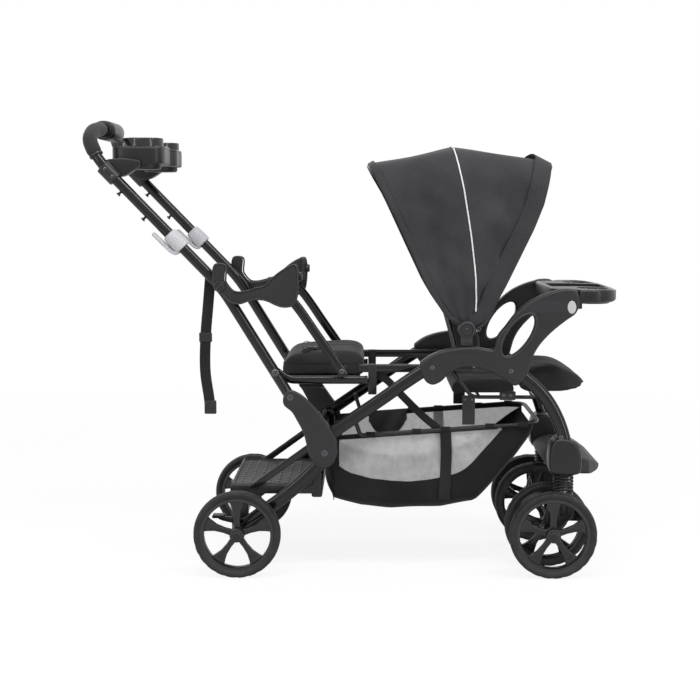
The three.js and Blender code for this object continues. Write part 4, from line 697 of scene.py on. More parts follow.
# MAIN FRAME
MAIN_TUBE_Y, MAIN_TUBE_WIDTH, MAIN_TUBE_DEPTH = 221, 20, 30
MAIN_TUBE_FOOT, MAIN_TUBE_LENGTH, ARCH_RISE = (185, 310), 580, 204
MAIN_TUBE_SHARES = [
    (0, 0), (0.1209, 0.24), (0.2397, 0.471), (0.4228, 0.828), (0.5172, 0.956), (0.6207, 1),
    (0.7362, 0.931), (0.8397, 0.735), (0.9086, 0.549), (0.9586, 0.319), (0.9897, 0.0735), (1, -0.098),
]
LEG_HINGE = (200.4, 320.8)
ARMREST_BACK, ARMREST_LOW, ARMREST_LENGTH, ARMREST_HEIGHT = 424, 447, 366, 224
ARMREST_NEAR, ARMREST_FAR = 206.5, 236
ARMREST_SHARES = [
    (0, 0.232), (0.025, 0.272), (0.077, 0.326), (0.158, 0.371), (0.251, 0.397), (0.347, 0.402),
    (0.423, 0.379), (0.459, 0.379), (0.489, 0.518), (0.538, 0.621), (0.601, 0.754), (0.694, 0.879),
    (0.787, 0.951), (0.85, 0.982), (0.893, 1), (0.975, 0.987), (1, 0.884), (0.978, 0.754),
    (0.915, 0.674), (0.822, 0.549), (0.749, 0.415), (0.71, 0.299), (0.68, 0.134), (0.656, 0.067),
    (0.601, 0), (0.538, 0.062), (0.443, 0.147), (0.347, 0.192), (0.265, 0.188), (0.191, 0.134),
    (0.126, 0.036), (0.077, 0.009), (0.033, 0.049),
]
RIDGE_SHARES = [(0.03, 0.2), (0.09, 0.285), (0.17, 0.33), (0.26, 0.35), (0.36, 0.345), (0.44, 0.31)]
LOWER_LINE_SHARES = [
    (0.6, 0.06), (0.53, 0.12), (0.44, 0.2), (0.35, 0.24), (0.26, 0.235), (0.19, 0.185), (0.13, 0.09),
]
ARMREST_LINES = (("ridge", RIDGE_SHARES, 0.6, 3, 2.4), ("lower_line", LOWER_LINE_SHARES, 0.4, 2, 1.6))
TONGUE_Y = 215.5
HOLE_CENTRE, HOLE_LONG, HOLE_SHORT, HOLE_TILT = (650.2, 563.5), 112, 48, math.radians(55)
BUTTON_CENTRE, BUTTON_WIDTH, BUTTON_HEIGHT = (771.0, 629.1), 20, 30
COVER_BACK, COVER_LOW, COVER_LENGTH, COVER_HEIGHT, COVER_FAR = 107, 259, 125, 178, 241
COVER_SHARES = [
    (0.048, 0.972), (0.136, 1), (0.232, 0.983), (0.368, 0.927), (0.568, 0.792), (0.776, 0.596),
    (0.92, 0.449), (0.976, 0.371), (1, 0.23), (1, 0.146), (0.864, 0), (0.64, 0.006),
    (0.496, 0.107), (0.44, 0.264), (0.368, 0.449), (0.264, 0.59), (0.16, 0.713), (0.016, 0.803), (0, 0.888),
]
HANDLE_HINGE = (121, 422)


def main_tube_run(y, count=60):
    foot, length, rise = MAIN_TUBE_FOOT, MAIN_TUBE_LENGTH, ARCH_RISE
    return curved([(x, y, z) for x, z in spread(MAIN_TUBE_SHARES, foot, length, rise)], count)


def add_main_tubes():
    for side, sign in SIDES.items():
        tube(f"main_tube_{side}_smooth", main_tube_run(sign * MAIN_TUBE_Y), MAIN_TUBE_WIDTH,
             MAIN_TUBE_DEPTH, "tube", "frame", ACROSS, 28, slot="black_tube", parts=[f"main_tube_{side}"])


def on_armrest(shares):
    return spread(shares, (ARMREST_BACK, ARMREST_LOW), ARMREST_LENGTH, ARMREST_HEIGHT)


def armrest_hole(grow=0.0):
    return ellipse(*HOLE_CENTRE, HOLE_LONG + grow, HOLE_SHORT + grow, HOLE_TILT)


def add_armrests():
    """Each armrest: a thick rounded shell, a raised rim round its slanted hole and a ridge over its arch."""
    for side, sign in SIDES.items():
        near, far = sign * ARMREST_NEAR, sign * ARMREST_FAR
        shell = plate(
            f"armrest_{side}_shell", smooth_loop(on_armrest(ARMREST_SHARES), 150), near, far, 6, "charcoal",
            "frame", holes=[armrest_hole()], steps=4, slot="charcoal_plastic", parts=[f"armrest_{side}"],
        )
        slot_at = sign * TONGUE_Y
        carved(shell, (742, slot_at - 4.6, 623.5), (800, slot_at + 4.6, 649), 0.5)
        pocket = plate("pocket_tool", ellipse(*BUTTON_CENTRE, BUTTON_WIDTH + 1, BUTTON_HEIGHT + 1, 0, 40),
                       sign * 227, sign * 240, 0, "charcoal", None)
        combined(shell, pocket)
        rim_line = [(x, sign * (ARMREST_FAR - 0.5), z) for x, z in armrest_hole(7)]
        cord(f"armrest_{side}_hole_rim", rim_line, 4, 5, "charcoal", "frame", slot="charcoal_plastic")
        for name, shares, sunk, width, thick in ARMREST_LINES:
            line = [(x, sign * (ARMREST_FAR - sunk), z) for x, z in on_armrest(shares)]
            band(f"armrest_{side}_{name}", curved(line, 30), width, thick, "gloss", "frame", ACROSS,
                 slot="charcoal_plastic")
        for place_name, x, z in (("rear", 452, 489), ("front", 633, 481)):
            screw(f"armrest_{side}_{place_name}_screw", x, sign * (ARMREST_FAR + 0.2), z, 11, "frame", sign)
        boss = [(-24, 8), (0, 8)]
        turned(f"armrest_{side}_boss", boss, (455, sign * 202, 481), (0, sign, 0), "charcoal", "frame", 24)


def add_tray_buttons():
    for side, sign in SIDES.items():
        outline = ellipse(*BUTTON_CENTRE, BUTTON_WIDTH, BUTTON_HEIGHT, 0, 40)
        plate(f"tray_button_{side}_cap", outline, sign * 231, sign * 238, 2, "grey", f"tray_button_{side}",
              slot="grey_plastic", parts=[f"tray_button_{side}"])


def add_rear_covers():
    """The cover over each main tube's foot: a rounded plate, its core, two screws and the hinge pins."""
    for side, sign in SIDES.items():
        outline = smooth_loop(spread(COVER_SHARES, (COVER_BACK, COVER_LOW), COVER_LENGTH, COVER_HEIGHT), 90)
        near, far = sign * 228.3, sign * COVER_FAR
        plate(f"rear_cover_{side}_plate", outline, near, far, 5, "charcoal", "frame", steps=4,
              slot="charcoal_plastic", parts=[f"rear_cover_{side}"])
        lower = [point for point in outline if point[1] < 392]
        inner = plate(f"rear_cover_{side}_core", lower, sign * 212.5, sign * 230, 1.5, "charcoal", "frame",
                      slot="charcoal_plastic")
        foot_run = main_tube_run(sign * MAIN_TUBE_Y)[:20]
        combined(inner, grid_object("tube_tool", rings(foot_run, oval(22, 31, 24), ACROSS)))
        for name, x, z in (("upper", HANDLE_HINGE[0] + 3, HANDLE_HINGE[1] - 2), ("lower", 203, 290)):
            screw(f"rear_cover_{side}_{name}_screw", x, sign * COVER_FAR, z, 15, "frame", sign)
        pin(f"rear_cover_{side}_handle_pin", HANDLE_HINGE, 202.5, 4, 26, "frame", sign)
        pin(f"rear_cover_{side}_leg_pin", LEG_HINGE, 189, 6, 26, "frame", sign)


# FRONT SOCKETS AND FOOTREST
CASTER_X, TWIN_Y = 763, 193
HOUSING_SHARES = [(0, 0.1), (0.08, 0), (0.92, 0), (1, 0.1), (1, 0.55), (0.86, 0.86), (0.6, 1), (0.2, 1),
                  (0.02, 0.78)]
FOOTREST_SHARES = [
    (0, 0.5), (0.12, 0.88), (0.3, 1), (0.5, 0.99), (0.72, 0.84), (0.9, 0.55),
    (1, 0.3), (0.97, 0.1), (0.85, 0), (0.45, 0), (0.15, 0.15), (0, 0.3),
]


FOOTREST_BACK, FOOTREST_LENGTH = 731, 128


def add_front_housings():
    for side, sign in SIDES.items():
        outline = smooth_loop(spread(HOUSING_SHARES, (727, 240), 72, 82), 60)
        shell = plate(f"front_housing_{side}_shell", outline, sign * 168, sign * 234, 8, "black", "frame",
                      steps=5, slot="black_plastic", parts=[f"front_housing_{side}"])
        front_run = main_tube_run(sign * MAIN_TUBE_Y)[40:]
        combined(shell, grid_object("tube_tool", rings(front_run, oval(21, 31, 24), ACROSS)))
        bored(shell, 9.6, -5, 34, (CASTER_X, sign * TWIN_Y, 240), UP)
        screw(f"front_housing_{side}_screw", 751, sign * (MAIN_TUBE_Y + 9.6), 326, 11, "frame", sign)


def add_footrest():
    outline = smooth_loop(spread(FOOTREST_SHARES, (FOOTREST_BACK, 230), FOOTREST_LENGTH, 42), 70)
    board = plate("front_footrest_board", outline, -167.7, 167.7, 7, "deck", "frame", steps=4,
                  slot="deck_grey", parts=["front_footrest"])
    front = FOOTREST_BACK + FOOTREST_LENGTH
    plan = [(700, -200), (797, -200), (837, -150), (865, -84), (865, 84), (837, 150), (797, 200),
            (700, 200)]
    form = plate("plan_tool", smooth_loop(plan, 60), 150, 400, 0, "deck", None, flat="plan")
    combined(board, form, "INTERSECT")
    for number in range(6):
        x = front - 28 - number * 12
        top = max(z for a, z in outline if abs(a - x) < 4)
        carved(board, (x - 2.5, -130, top - 2.5), (x + 2.5, 130, top + 20), 0.8)


# SEAT FRAME
SEAT_RAIL_Y, SEAT_RAIL_Z, SEAT_WIRE_Y, WIRE = 172, 481, 180.5, 9
SEAT_WIRE_LOW, SEAT_WIRE_BACK, SEAT_WIRE_LENGTH, SEAT_WIRE_HEIGHT = 414, 497, 225, 66
SEAT_WIRE_SHARES = [(0, 1), (0.205, 0.08), (0.27, 0), (0.82, 0), (1, 0)]
SEAT_BAR_SHARES = (0.3, 0.66, 0.9)
BASKET_RAIL_Y = 182


def add_seat_frame():
    """The seat's rails, bent wire and cross bars, with the plates that carry them."""
    shares = spread(SEAT_WIRE_SHARES, (SEAT_WIRE_BACK, SEAT_WIRE_LOW), SEAT_WIRE_LENGTH, SEAT_WIRE_HEIGHT)
    near = [(x, SEAT_WIRE_Y, z) for x, z in shares]
    far = [(x, -y, z) for x, y, z in near][::-1]
    tube("seat_wire", bent([*near, *far], 22, 6), WIRE, WIRE, "tube", "frame", sides=14,
                slot="black_tube", parts=["seat_frame"])
    for number, share in enumerate(SEAT_BAR_SHARES):
        x = SEAT_WIRE_BACK + share * SEAT_WIRE_LENGTH
        tube(f"seat_bar_{number}", [(x, -SEAT_WIRE_Y, SEAT_WIRE_LOW), (x, SEAT_WIRE_Y, SEAT_WIRE_LOW)], 8,
             8, "tube", "frame", sides=12, slot="black_tube")
    tube("seat_cross_tube", [(314, -172, 427), (314, 172, 427)], 12, 12, "tube", "frame", sides=18,
         slot="black_tube")
    for side, sign in SIDES.items():
        y = sign * SEAT_RAIL_Y
        rail = [(285, y, SEAT_RAIL_Z), (548, y, SEAT_RAIL_Z)]
        skin(f"seat_rail_{side}", rail, rounded(12, 19, 4), "tube", "frame", ACROSS, slot="black_tube")
        block(f"seat_rail_{side}_hanger", (304, y - 6.7, 419), (324, y + 6.7, 490.8), 2, "black", "frame",
              slot="black_tube")
        block(f"seat_rail_{side}_end", (281, y - 6.5, 471), (287, y + 6.5, 491), 2, "black", "frame")
        block(f"seat_post_{side}", (525, sign * SEAT_WIRE_Y - 2, 348.5), (555, sign * SEAT_WIRE_Y + 2, 418),
              1.5, "black", "frame", slot="black_tube")
        for number, x in enumerate((532, 548)):
            screw(f"seat_post_{side}_rivet_{number}", x, sign * (SEAT_WIRE_Y + 2), 408, 6, "frame", sign)
        near, far = sorted((sign * (SEAT_WIRE_Y - 3), sign * (SEAT_WIRE_Y + 5.5)))
        block(f"seat_wire_{side}_clamp", (612, near, 407), (650, far, 428), 3, "black", "frame")
        for number, x in enumerate((622, 638)):
            screw(f"seat_wire_{side}_bolt_{number}", x, sign * (SEAT_WIRE_Y + 5.5), 419, 8, "frame", sign)
        screw(f"seat_rail_{side}_rivet", 500, sign * (SEAT_RAIL_Y + 6), 481, 8, "frame", sign)


# BASKET RAIL
def basket_wire_z(x):
    return 318 + (x - 222) * 0.072


def add_basket_rail():
    run = main_tube_run(MAIN_TUBE_Y, 18)
    hang = next(point for point in run if point.x > 250)
    start = hang.x + 16
    near = [
        (hang.x, 211.5, hang.z), (hang.x, 201, hang.z), (start, BASKET_RAIL_Y, basket_wire_z(start)),
        (start + 16, BASKET_RAIL_Y, basket_wire_z(start + 16)), (706, BASKET_RAIL_Y, basket_wire_z(706)),
    ]
    far = [(x, -y, z) for x, y, z in near][::-1]
    tube("basket_rail_wire", bent([*near, *far], 60, 8), 10, 10, "black", "frame", sides=16,
         slot="black_tube", parts=["basket_rail"])


# HANDLE
HANDLE_TUBE, HANDLE_Y, HANDLE_BEND = 25, 215, 40
HANDLE_CLAMP = Vector((-290, 215, 936))
HANDLE_KNEE = Vector((-34, 215, 672))
GRIP_SHARES = [(0.58, 0.01, 0.35), (0.96, 0.07, 0.69), (1, 0.23, 0.9), (0.88, 0.49, 1), (0.79, 1, 1)]
GRIP_REACH, GRIP_RISE, HUB_HALF = 48, 104, 70
TUBE_DIRECTION = (HANDLE_CLAMP - HANDLE_KNEE).normalized()
UNDER = Vector((TUBE_DIRECTION.z, 0, -TUBE_DIRECTION.x))
HUB_SHARES = [(0, 0.3), (0, 0.75), (0.2, 1), (0.75, 1), (1, 0.7), (1, 0.25), (0.8, 0), (0.25, 0)]
BENCH_HINGE, CRADLE_HINGE, SUPPORT_LOW = (88.7, 475.5), (-38.3, 677), (243, 478)
TRIGGER_X, TRIGGER_Z = -139, 780
HANDLE_RIVET = [(-1, 9), (0.6, 9), (2, 7.6), (2.6, 4), (2.6, 0)]
HANDLE_STUD = [(0, 3), (6, 3), (7, 5.5), (9, 5.5), (9.8, 4), (9.8, 0)]
GRIP_RING = [(-3.5, 13.2), (-3.5, 15.4), (-2.6, 16.4), (2.2, 16.4), (3, 15.4), (3, 13.2), (-3.5, 13.2)]
HUB_COLLAR = [(-4, 13.6), (-4, 17), (-2, 18.6), (3, 18.6), (5, 16.6), (5, 13.6), (-4, 13.6)]
TRIGGER_COLLAR = [
    (-23, 13.1), (-23, 17.5), (-21, 19.4), (-4, 19.8), (16, 18.6), (21, 17), (23, 14.6), (23, 13.1),
    (-23, 13.1),
]
TRIGGER_TAB = ((-21, 13), (-20, 19), (-12, 23.4), (6, 25), (24, 25.2), (38, 25.6), (45, 26), (50.5, 26.6))


def handle_loop(count=72):
    """The loop above the left-hand clamp, from the clamp to the centre plane."""
    start = HANDLE_CLAMP
    points = [start] + [
        Vector((start.x - back * GRIP_REACH, start.y - inward * HANDLE_Y, start.z + high * GRIP_RISE))
        for back, inward, high in GRIP_SHARES
    ]
    return curved(points, count)


def handle_run():
    foot = Vector((HANDLE_HINGE[0] + 8, HANDLE_Y, HANDLE_HINGE[1] - 14))
    side = bent([foot, HANDLE_KNEE, HANDLE_CLAMP], HANDLE_BEND, 10)[:-1] + handle_loop()
    return side + [Vector((p.x, -p.y, p.z)) for p in side][::-1][1:]


def add_handle():
    tube("handle_tube_smooth", handle_run(), HANDLE_TUBE, HANDLE_TUBE, "tube", "handle", sides=28,
         slot="black_tube", parts=["handle_tube"])
    for side, sign in SIDES.items():
        for name, (x, z) in (("foot", HANDLE_HINGE), ("bench", BENCH_HINGE)):
            turned(f"handle_{name}_rivet_{side}", HANDLE_RIVET, (x, sign * (HANDLE_Y + 12.4), z),
                   (0, sign, 0), "bolt", "handle", 28)
        for number, along in enumerate((88, 168)):
            at = Vector((TRIGGER_X, sign * HANDLE_Y, TRIGGER_Z)) + TUBE_DIRECTION * along - UNDER * 12
            turned(f"handle_stud_{side}_{number}", HANDLE_STUD, at, UNDER * -1, "black", "handle", 20)


def add_grips():
    """A foam sleeve at each side, a little fuller in the middle, with rounded ends and a plastic ring."""
    loop = handle_loop()
    for side, sign in SIDES.items():
        run = [Vector((p.x, sign * p.y, p.z)) for p in loop if p.y > HUB_HALF + 4][17:]
        total = len(run) - 1

        def section(share):
            edge = min(share, 1 - share) * total
            size = 34 - 8 * max(0.0, 1 - edge / 3) ** 2
            return oval(size, size, 28)

        skin(f"handle_grip_{side}_foam", run, section, "foam", "handle", slot="foam", sharp=60,
             parts=[f"handle_grip_{side}"])
        inward = (run[1] - run[0]).normalized()
        turned(f"handle_grip_{side}_ring", GRIP_RING, run[0] - inward * 2, inward, "black", "handle", 32,
               slot="black_plastic")


def add_handle_hub():
    centre = handle_loop()[-1]
    outline = smooth_loop(spread(HUB_SHARES, (centre.x - 25, centre.z - 21), 50, 42), 64)
    plate("handle_hub_body", outline, -HUB_HALF, HUB_HALF, 7, "black", "handle", steps=5,
          slot="black_plastic", parts=["handle_hub"])
    button = [(-6, 15), (1, 15), (3, 13.5), (3.6, 9), (3.6, 0)]
    turned("handle_hub_button", button, (centre.x + 2, 0, centre.z + 18.2), (0, 0, 1), "grey", "handle", 36)
    for side, sign in SIDES.items():
        turned(f"handle_hub_collar_{side}", HUB_COLLAR, (centre.x, sign * (HUB_HALF + 1.5), centre.z),
               (0, sign, 0), "gloss", "handle", 36)


def add_triggers():
    """The fold triggers: a collar on each upright and a pale finger tab that curls away from the tube."""
    for side, sign in SIDES.items():
        centre = Vector((TRIGGER_X, sign * HANDLE_Y, TRIGGER_Z))
        body = f"fold_trigger_{side}"
        turned(f"{body}_collar", TRIGGER_COLLAR, centre, TUBE_DIRECTION, "pale", body, 48,
               slot="pale_plastic", parts=[body])
        run = [centre - UNDER * out + TUBE_DIRECTION * along for along, out in TRIGGER_TAB]

        def section(share):
            """The tab's section, drawn in at its rounded end."""
            end = max(0.0, (share - 0.86) / 0.14)
            fullness = math.sqrt(max(1 - end * end, 0.04))
            return rounded(22 * fullness, 9 * fullness, 4 * fullness, 4)

        skin(f"{body}_tab", curved(run, 40), section, "pale", body, ACROSS, slot="pale_plastic")
        for number in range(4):
            at = centre + TUBE_DIRECTION * (14 + number * 7) - UNDER * 30
            band(f"{body}_grip_{number}", [at - ACROSS * 7.5, at + ACROSS * 7.5], 1.8, 1.6, "pale", body,
                 TUBE_DIRECTION)


# PARENT TRAY
TRAY_BACK, TRAY_FRONT, TRAY_LOW, TRAY_TOP, TRAY_HALF = -292, -172, 957, 997, 192
CUP_X, CUP_Y, CUP, CUP_RING, CUP_RISE, CUP_DROP = -223, 141, 76, 94, 21, 12
CLAMP_SHARES = [(0.16, 0.2), (0.4, 0), (0.62, 0.1), (1, 0.8), (1, 1), (0.08, 1)]


def ring_profile(inner, outer, height, lip=2.5):
    """Half of an upright ring's section: (along the axis, radius), closed."""
    return [
        (0, inner), (0, outer - 1), (1, outer), (height - lip, outer), (height - 0.6, outer - 0.9),
        (height, outer - lip), (height, inner + lip), (height - 0.6, inner + 0.9), (height - lip, inner),
        (0, inner),
    ]


def cup(name, x, y, low, inner, outer, height, body):
    """A cup with a floor, hung under a tray."""
    profile = [
        (0, 0), (0, outer - 4), (1.5, outer - 1.2), (5, outer), (height, outer), (height, inner),
        (6, inner), (4, inner - 3), (3.6, 0),
    ]
    turned(f"{name}_well", profile, (x, y, low), UP, "black", body, 64, slot="black_plastic", sharp=50)


def add_parent_tray():
    """The tray: a shallow dish with two ringed cups, a middle well and an arm and collar at each end."""
    bay = TRAY_FRONT - 14
    low, near, edge = -TRAY_HALF + 30, -TRAY_HALF + 9, -TRAY_HALF
    half_plan = [
        (TRAY_BACK, low), (TRAY_BACK + 9, near), (TRAY_BACK + 30, edge), (TRAY_FRONT - 30, edge),
        (TRAY_FRONT - 9, near), (TRAY_FRONT, low), (TRAY_FRONT, -100), (TRAY_FRONT, -66), (bay, -31),
    ]
    plan = half_plan + [(x, -y) for x, y in half_plan[::-1]] + [(TRAY_BACK, 60), (TRAY_BACK, -60)]
    body = plate("parent_tray_dish", smooth_loop(plan, 130), TRAY_LOW, TRAY_TOP, 5, "black", "handle",
                 flat="plan", steps=5, slot="black_plastic", parts=["parent_tray"])
    carved(body, (TRAY_BACK + 8, -56, TRAY_LOW + 4), (bay - 8, 56, TRAY_TOP + 20), 6)
    for side, sign in SIDES.items():
        bored(body, CUP / 2, 0, 90, (CUP_X, sign * CUP_Y, TRAY_LOW - 20), UP, 64)
        cup(f"parent_cup_{side}", CUP_X, sign * CUP_Y, TRAY_LOW - CUP_DROP, CUP / 2 - 0.1, CUP / 2 + 4,
            CUP_DROP + 20, "handle")
        ring = ring_profile(CUP / 2 - 0.1, CUP_RING / 2, CUP_RISE + 0.5)
        turned(f"parent_cup_{side}_ring", ring, (CUP_X, sign * CUP_Y, TRAY_TOP - 0.5), UP, "gloss",
               "handle", 72, slot="black_plastic")
        outline = smooth_loop(spread(CLAMP_SHARES, (-310, 927), 90, 36), 60)
        plate(f"parent_tray_arm_{side}", outline, sign * (TRAY_HALF - 16), sign * HANDLE_Y, 3, "black",
              "handle", slot="black_plastic")
        clamp = [(-22, 12.7), (-22, 16), (-20, 18), (20, 18), (22, 16), (22, 12.7), (-22, 12.7)]
        turned(f"parent_tray_collar_{side}", clamp, (HANDLE_CLAMP.x, sign * HANDLE_Y, HANDLE_CLAMP.z),
               TUBE_DIRECTION, "black", "handle", 44, slot="black_plastic")
        for number, along in enumerate((-12, 12)):
            at = Vector((HANDLE_CLAMP.x, sign * (HANDLE_Y + 17.4), HANDLE_CLAMP.z)) + TUBE_DIRECTION * along
            screw(f"parent_tray_screw_{side}_{number}", *at, 8, "handle", sign)
    lip = [(x * 0.985 - 3.5, y * 0.975, TRAY_TOP - 0.3) for x, y in smooth_loop(plan, 130)]
    cord("parent_tray_lip", lip, 3.2, 2.6, "gloss", "handle", slot="black_plastic")


# CRADLE BRACKETS, SUPPORT TUBES AND BENCH FRAME
BRACKET_SHARES = [
    (0, 1), (0.126, 1), (0.126, 0.626), (0.147, 0.545), (0.2, 0.414), (0.242, 0.364),
    (0.316, 0.354), (0.379, 0.374), (0.547, 0.465), (0.647, 0.535), (0.716, 0.687), (0.795, 0.818),
    (0.895, 0.939), (1, 1), (1, 0.162), (0.937, 0.02), (0.837, 0), (0.763, 0.04),
    (0.668, 0.121), (0.579, 0.162), (0.484, 0.162), (0.389, 0.121), (0.305, 0.071), (0.221, 0.081),
    (0.158, 0.162), (0.084, 0.313), (0, 0.444),
]
BRACKET_NEAR, BRACKET_FAR = 228.7, 240.7
SUPPORT_SHARES = [(0, 1), (0.22, 0.83), (0.59, 0.44), (1, 0), (1.04, -0.05)]


def add_cradle_brackets():
    """The saddle at each side: a dished plate with a raised rim, a knob in front and a round pivot cover."""
    shares = spread(BRACKET_SHARES, (-50, 628), 190, 99)
    loop = smooth_loop(shares, 150)
    for side, sign in SIDES.items():
        plate(f"cradle_bracket_{side}_plate", loop, sign * BRACKET_NEAR, sign * (BRACKET_FAR - 2), 3,
              "charcoal", "cradle", steps=4, slot="charcoal_plastic", parts=[f"cradle_bracket_{side}"])
        run = [Vector((x, sign * (BRACKET_FAR - 1.8), z)) for x, z in loop]
        inner = [p + (Vector((45, p.y, 672)) - p).normalized() * 3.4 for p in run]
        cord(f"cradle_bracket_{side}_rim", inner, 4.4, 4, "charcoal", "cradle", slot="charcoal_plastic")
        block(f"cradle_bracket_{side}_flange", (132, sign * BRACKET_NEAR - (24 if sign > 0 else -4), 668),
              (140, sign * BRACKET_NEAR + (4 if sign > 0 else 24), 725), 2, "charcoal", "cradle",
              slot="charcoal_plastic")
        knob = [(0, 8), (0, 9), (2, 10), (10.5, 10), (12, 8.6), (12, 0)]
        turned(f"cradle_bracket_{side}_knob", knob, (139.5, sign * (BRACKET_NEAR - 12), 699), AHEAD,
               "black", "cradle", 36)
        cover = [(-3, 13), (2.2, 13), (3.6, 12), (4, 9.6), (3.2, 8.8), (3.2, 0)]
        turned(f"cradle_bracket_{side}_pivot", cover,
               (CRADLE_HINGE[0], sign * BRACKET_FAR, CRADLE_HINGE[1]), (0, sign, 0), "charcoal", "cradle",
               44, slot="charcoal_plastic")
        pin(f"cradle_bracket_{side}_pin", CRADLE_HINGE, 204, 4, 26, "cradle", sign)


def add_support_tubes():
    points = spread(SUPPORT_SHARES, (106, 478), 137, 186)
    for side, sign in SIDES.items():
        run = curved([(x, sign * 212, z) for x, z in points], 40)
        tube(f"support_tube_{side}_smooth", run, 12, 22, "tube", "supports", ACROSS, 24,
             slot="black_tube", parts=[f"support_tube_{side}"])
        up = (run[0] - run[1]).normalized()
        cap = [run[0] - up * 12, run[0] - up * 1, run[0] + up * 1.2]
        skin(f"support_tube_{side}_cap", cap, lambda share: oval(14 - 3 * share ** 4, 24 - 3 * share ** 4,
                                                                 28),
             "black", "supports", ACROSS, slot="black_plastic")
        turned(f"support_tube_{side}_rivet", [(-1, 6), (0.5, 6), (1.6, 4.6), (2, 0)],
               (SUPPORT_LOW[0], sign * 218, SUPPORT_LOW[1]), (0, sign, 0), "bolt", "supports", 24)


def add_bench_frame():
    for side, sign in SIDES.items():
        y = sign * 188
        run = bent([(BENCH_HINGE[0], y, BENCH_HINGE[1]), (BENCH_HINGE[0] + 28, y, 455), (300, y, 455)], 28,
                   10)
        facts = {"parts": ["bench_frame"]} if side == "right" else {}
        tube(f"bench_rail_{side}", run, 12, 19, "tube", "bench", ACROSS, 20, slot="black_tube", **facts)
        pin(f"bench_pin_{side}", BENCH_HINGE, 184, 4, 43, "bench", sign)
        pin(f"bench_support_pin_{side}", SUPPORT_LOW, 184, 4, 37, "bench", sign)
        block(f"bench_lug_{side}", (232, y - 3, 455), (254, y + 3, 489), 1.5, "tube", "bench",
              slot="black_tube")
        block(f"bench_rail_end_{side}", (296, y - 6.6, 445), (303, y + 6.6, 465), 2.5, "black", "bench")
    for number, x in enumerate((114, 234.5)):
        tube(f"bench_bar_{number}", [(x, -188, 455), (x, 188, 455)], 12, 12, "tube", "bench", sides=20,
             slot="black_tube")
    block("bench_board", (97, -150, 448.5), (285, 150, 461.5), 3, "black", "bench", slot="black_tube")


# REAR LEGS, PLATFORM AND BRAKES
WHEEL_RADIUS, TRACK_HALF, LEG_Y = 101.5, 253, 199
PLATFORM_BACK, PLATFORM_FRONT, PLATFORM_TOP, PLATFORM_HALF = -22, 195, 206, 172
PEDAL_HINGE = (-2, 126)
LEG_SHARES = ((1, 1), (1.02, 0.77), (0.65, 0.435), (0, 0))
AXLE_CAP = [(0, 0), (0, 9), (1.6, 9), (2.6, 8), (3, 6), (3, 0)]
LEG_HEAD = [(-10, 0), (-10, 13), (-8.6, 15.4), (-6, 16), (6, 16), (8.6, 15.4), (10, 13), (10, 0)]
LEG_HUB = [(-10, 6.5), (-10, 13), (-8.6, 15.4), (-6, 16), (10, 16), (14, 14.4), (34.4, 13.6), (34.4, 6.5)]
PEDAL_LUG = [(-10, 0), (-10, 6), (-9, 7), (9, 7), (10, 6), (10, 3.5), (21.5, 3.5), (21.5, 0)]
PEDAL_ARM = [(-45, 4.5), (-20, -4), (0, -7), (6.5, -2), (6.5, 3), (0, 7), (-22, 8.5), (-45, 10.5)]


def add_rear_legs():
    top = LEG_HINGE
    for side, sign in SIDES.items():
        y = sign * LEG_Y
        points = [(x * top[0], y, WHEEL_RADIUS + z * (top[1] - WHEEL_RADIUS)) for x, z in LEG_SHARES]
        tube(f"rear_leg_{side}_smooth", bent(points, 50, 12), 20, 32, "tube", "rear_legs", ACROSS, 26,
             slot="black_tube", parts=[f"rear_leg_{side}"])
        turned(f"rear_leg_{side}_head", LEG_HEAD, (top[0], y, top[1]), (0, sign, 0), "tube", "rear_legs",
               40, slot="black_tube")
        turned(f"rear_leg_{side}_hub", LEG_HUB, (0, y, WHEEL_RADIUS), (0, sign, 0), "black", "rear_legs",
               40, slot="black_tube")
        turned(f"rear_leg_{side}_lug", PEDAL_LUG, (PEDAL_HINGE[0], y, PEDAL_HINGE[1]), (0, sign, 0),
               "black", "rear_legs", 28)


def rod(end):
    """The profile of a 12 mm rod that reaches end to both sides of its middle."""
    return [(-end, 0), (-end, 6), (end, 6), (end, 0)]


def add_rear_axle():
    end = TRACK_HALF + 19.3
    turned("rear_axle_rod", rod(end), (0, 0, WHEEL_RADIUS), ACROSS, "steel", "rear_legs", 28,
           slot="black_tube", parts=["rear_axle"])
    for side, sign in SIDES.items():
        turned(f"rear_axle_cap_{side}", AXLE_CAP, (0, sign * end, WHEEL_RADIUS), (0, sign, 0), "black",
               "rear_legs", 32)


def add_platform():
    """The standing platform: a rimmed deck with a field of short raised grips, and a toe board in front."""
    low, tread = PLATFORM_TOP - 24, PLATFORM_FRONT - 25
    deck = block("rear_platform_deck", (PLATFORM_BACK, -PLATFORM_HALF, low),
                 (PLATFORM_FRONT, PLATFORM_HALF, PLATFORM_TOP), 6, "deck", "rear_legs", steps=4,
                 slot="deck_grey", parts=["rear_platform"])
    carved(deck, (PLATFORM_BACK + 8, -PLATFORM_HALF + 8, PLATFORM_TOP - 4),
           (tread, PLATFORM_HALF - 8, PLATFORM_TOP + 20), 2.5)
    block("rear_platform_toe_board", (tread, -PLATFORM_HALF - 0.6, 172),
          (PLATFORM_FRONT + 0.4, PLATFORM_HALF + 0.6, 250), 5,
          "black", "rear_legs", steps=4, slot="deck_grey")
    pads = []
    for row in range(7):
        x = PLATFORM_BACK + 24 + row * 22
        for column in range(11):
            y = (column - 5) * 29 + (7 if row % 2 else -7)
            near, far = (x - 2.6, y - 9, PLATFORM_TOP - 4.6), (x + 2.6, y + 9, PLATFORM_TOP - 2.4)
            pads.append(block(f"grip_{row}_{column}", near, far, 1, "black", "rear_legs", steps=2))
    joined("rear_platform_grips", pads)


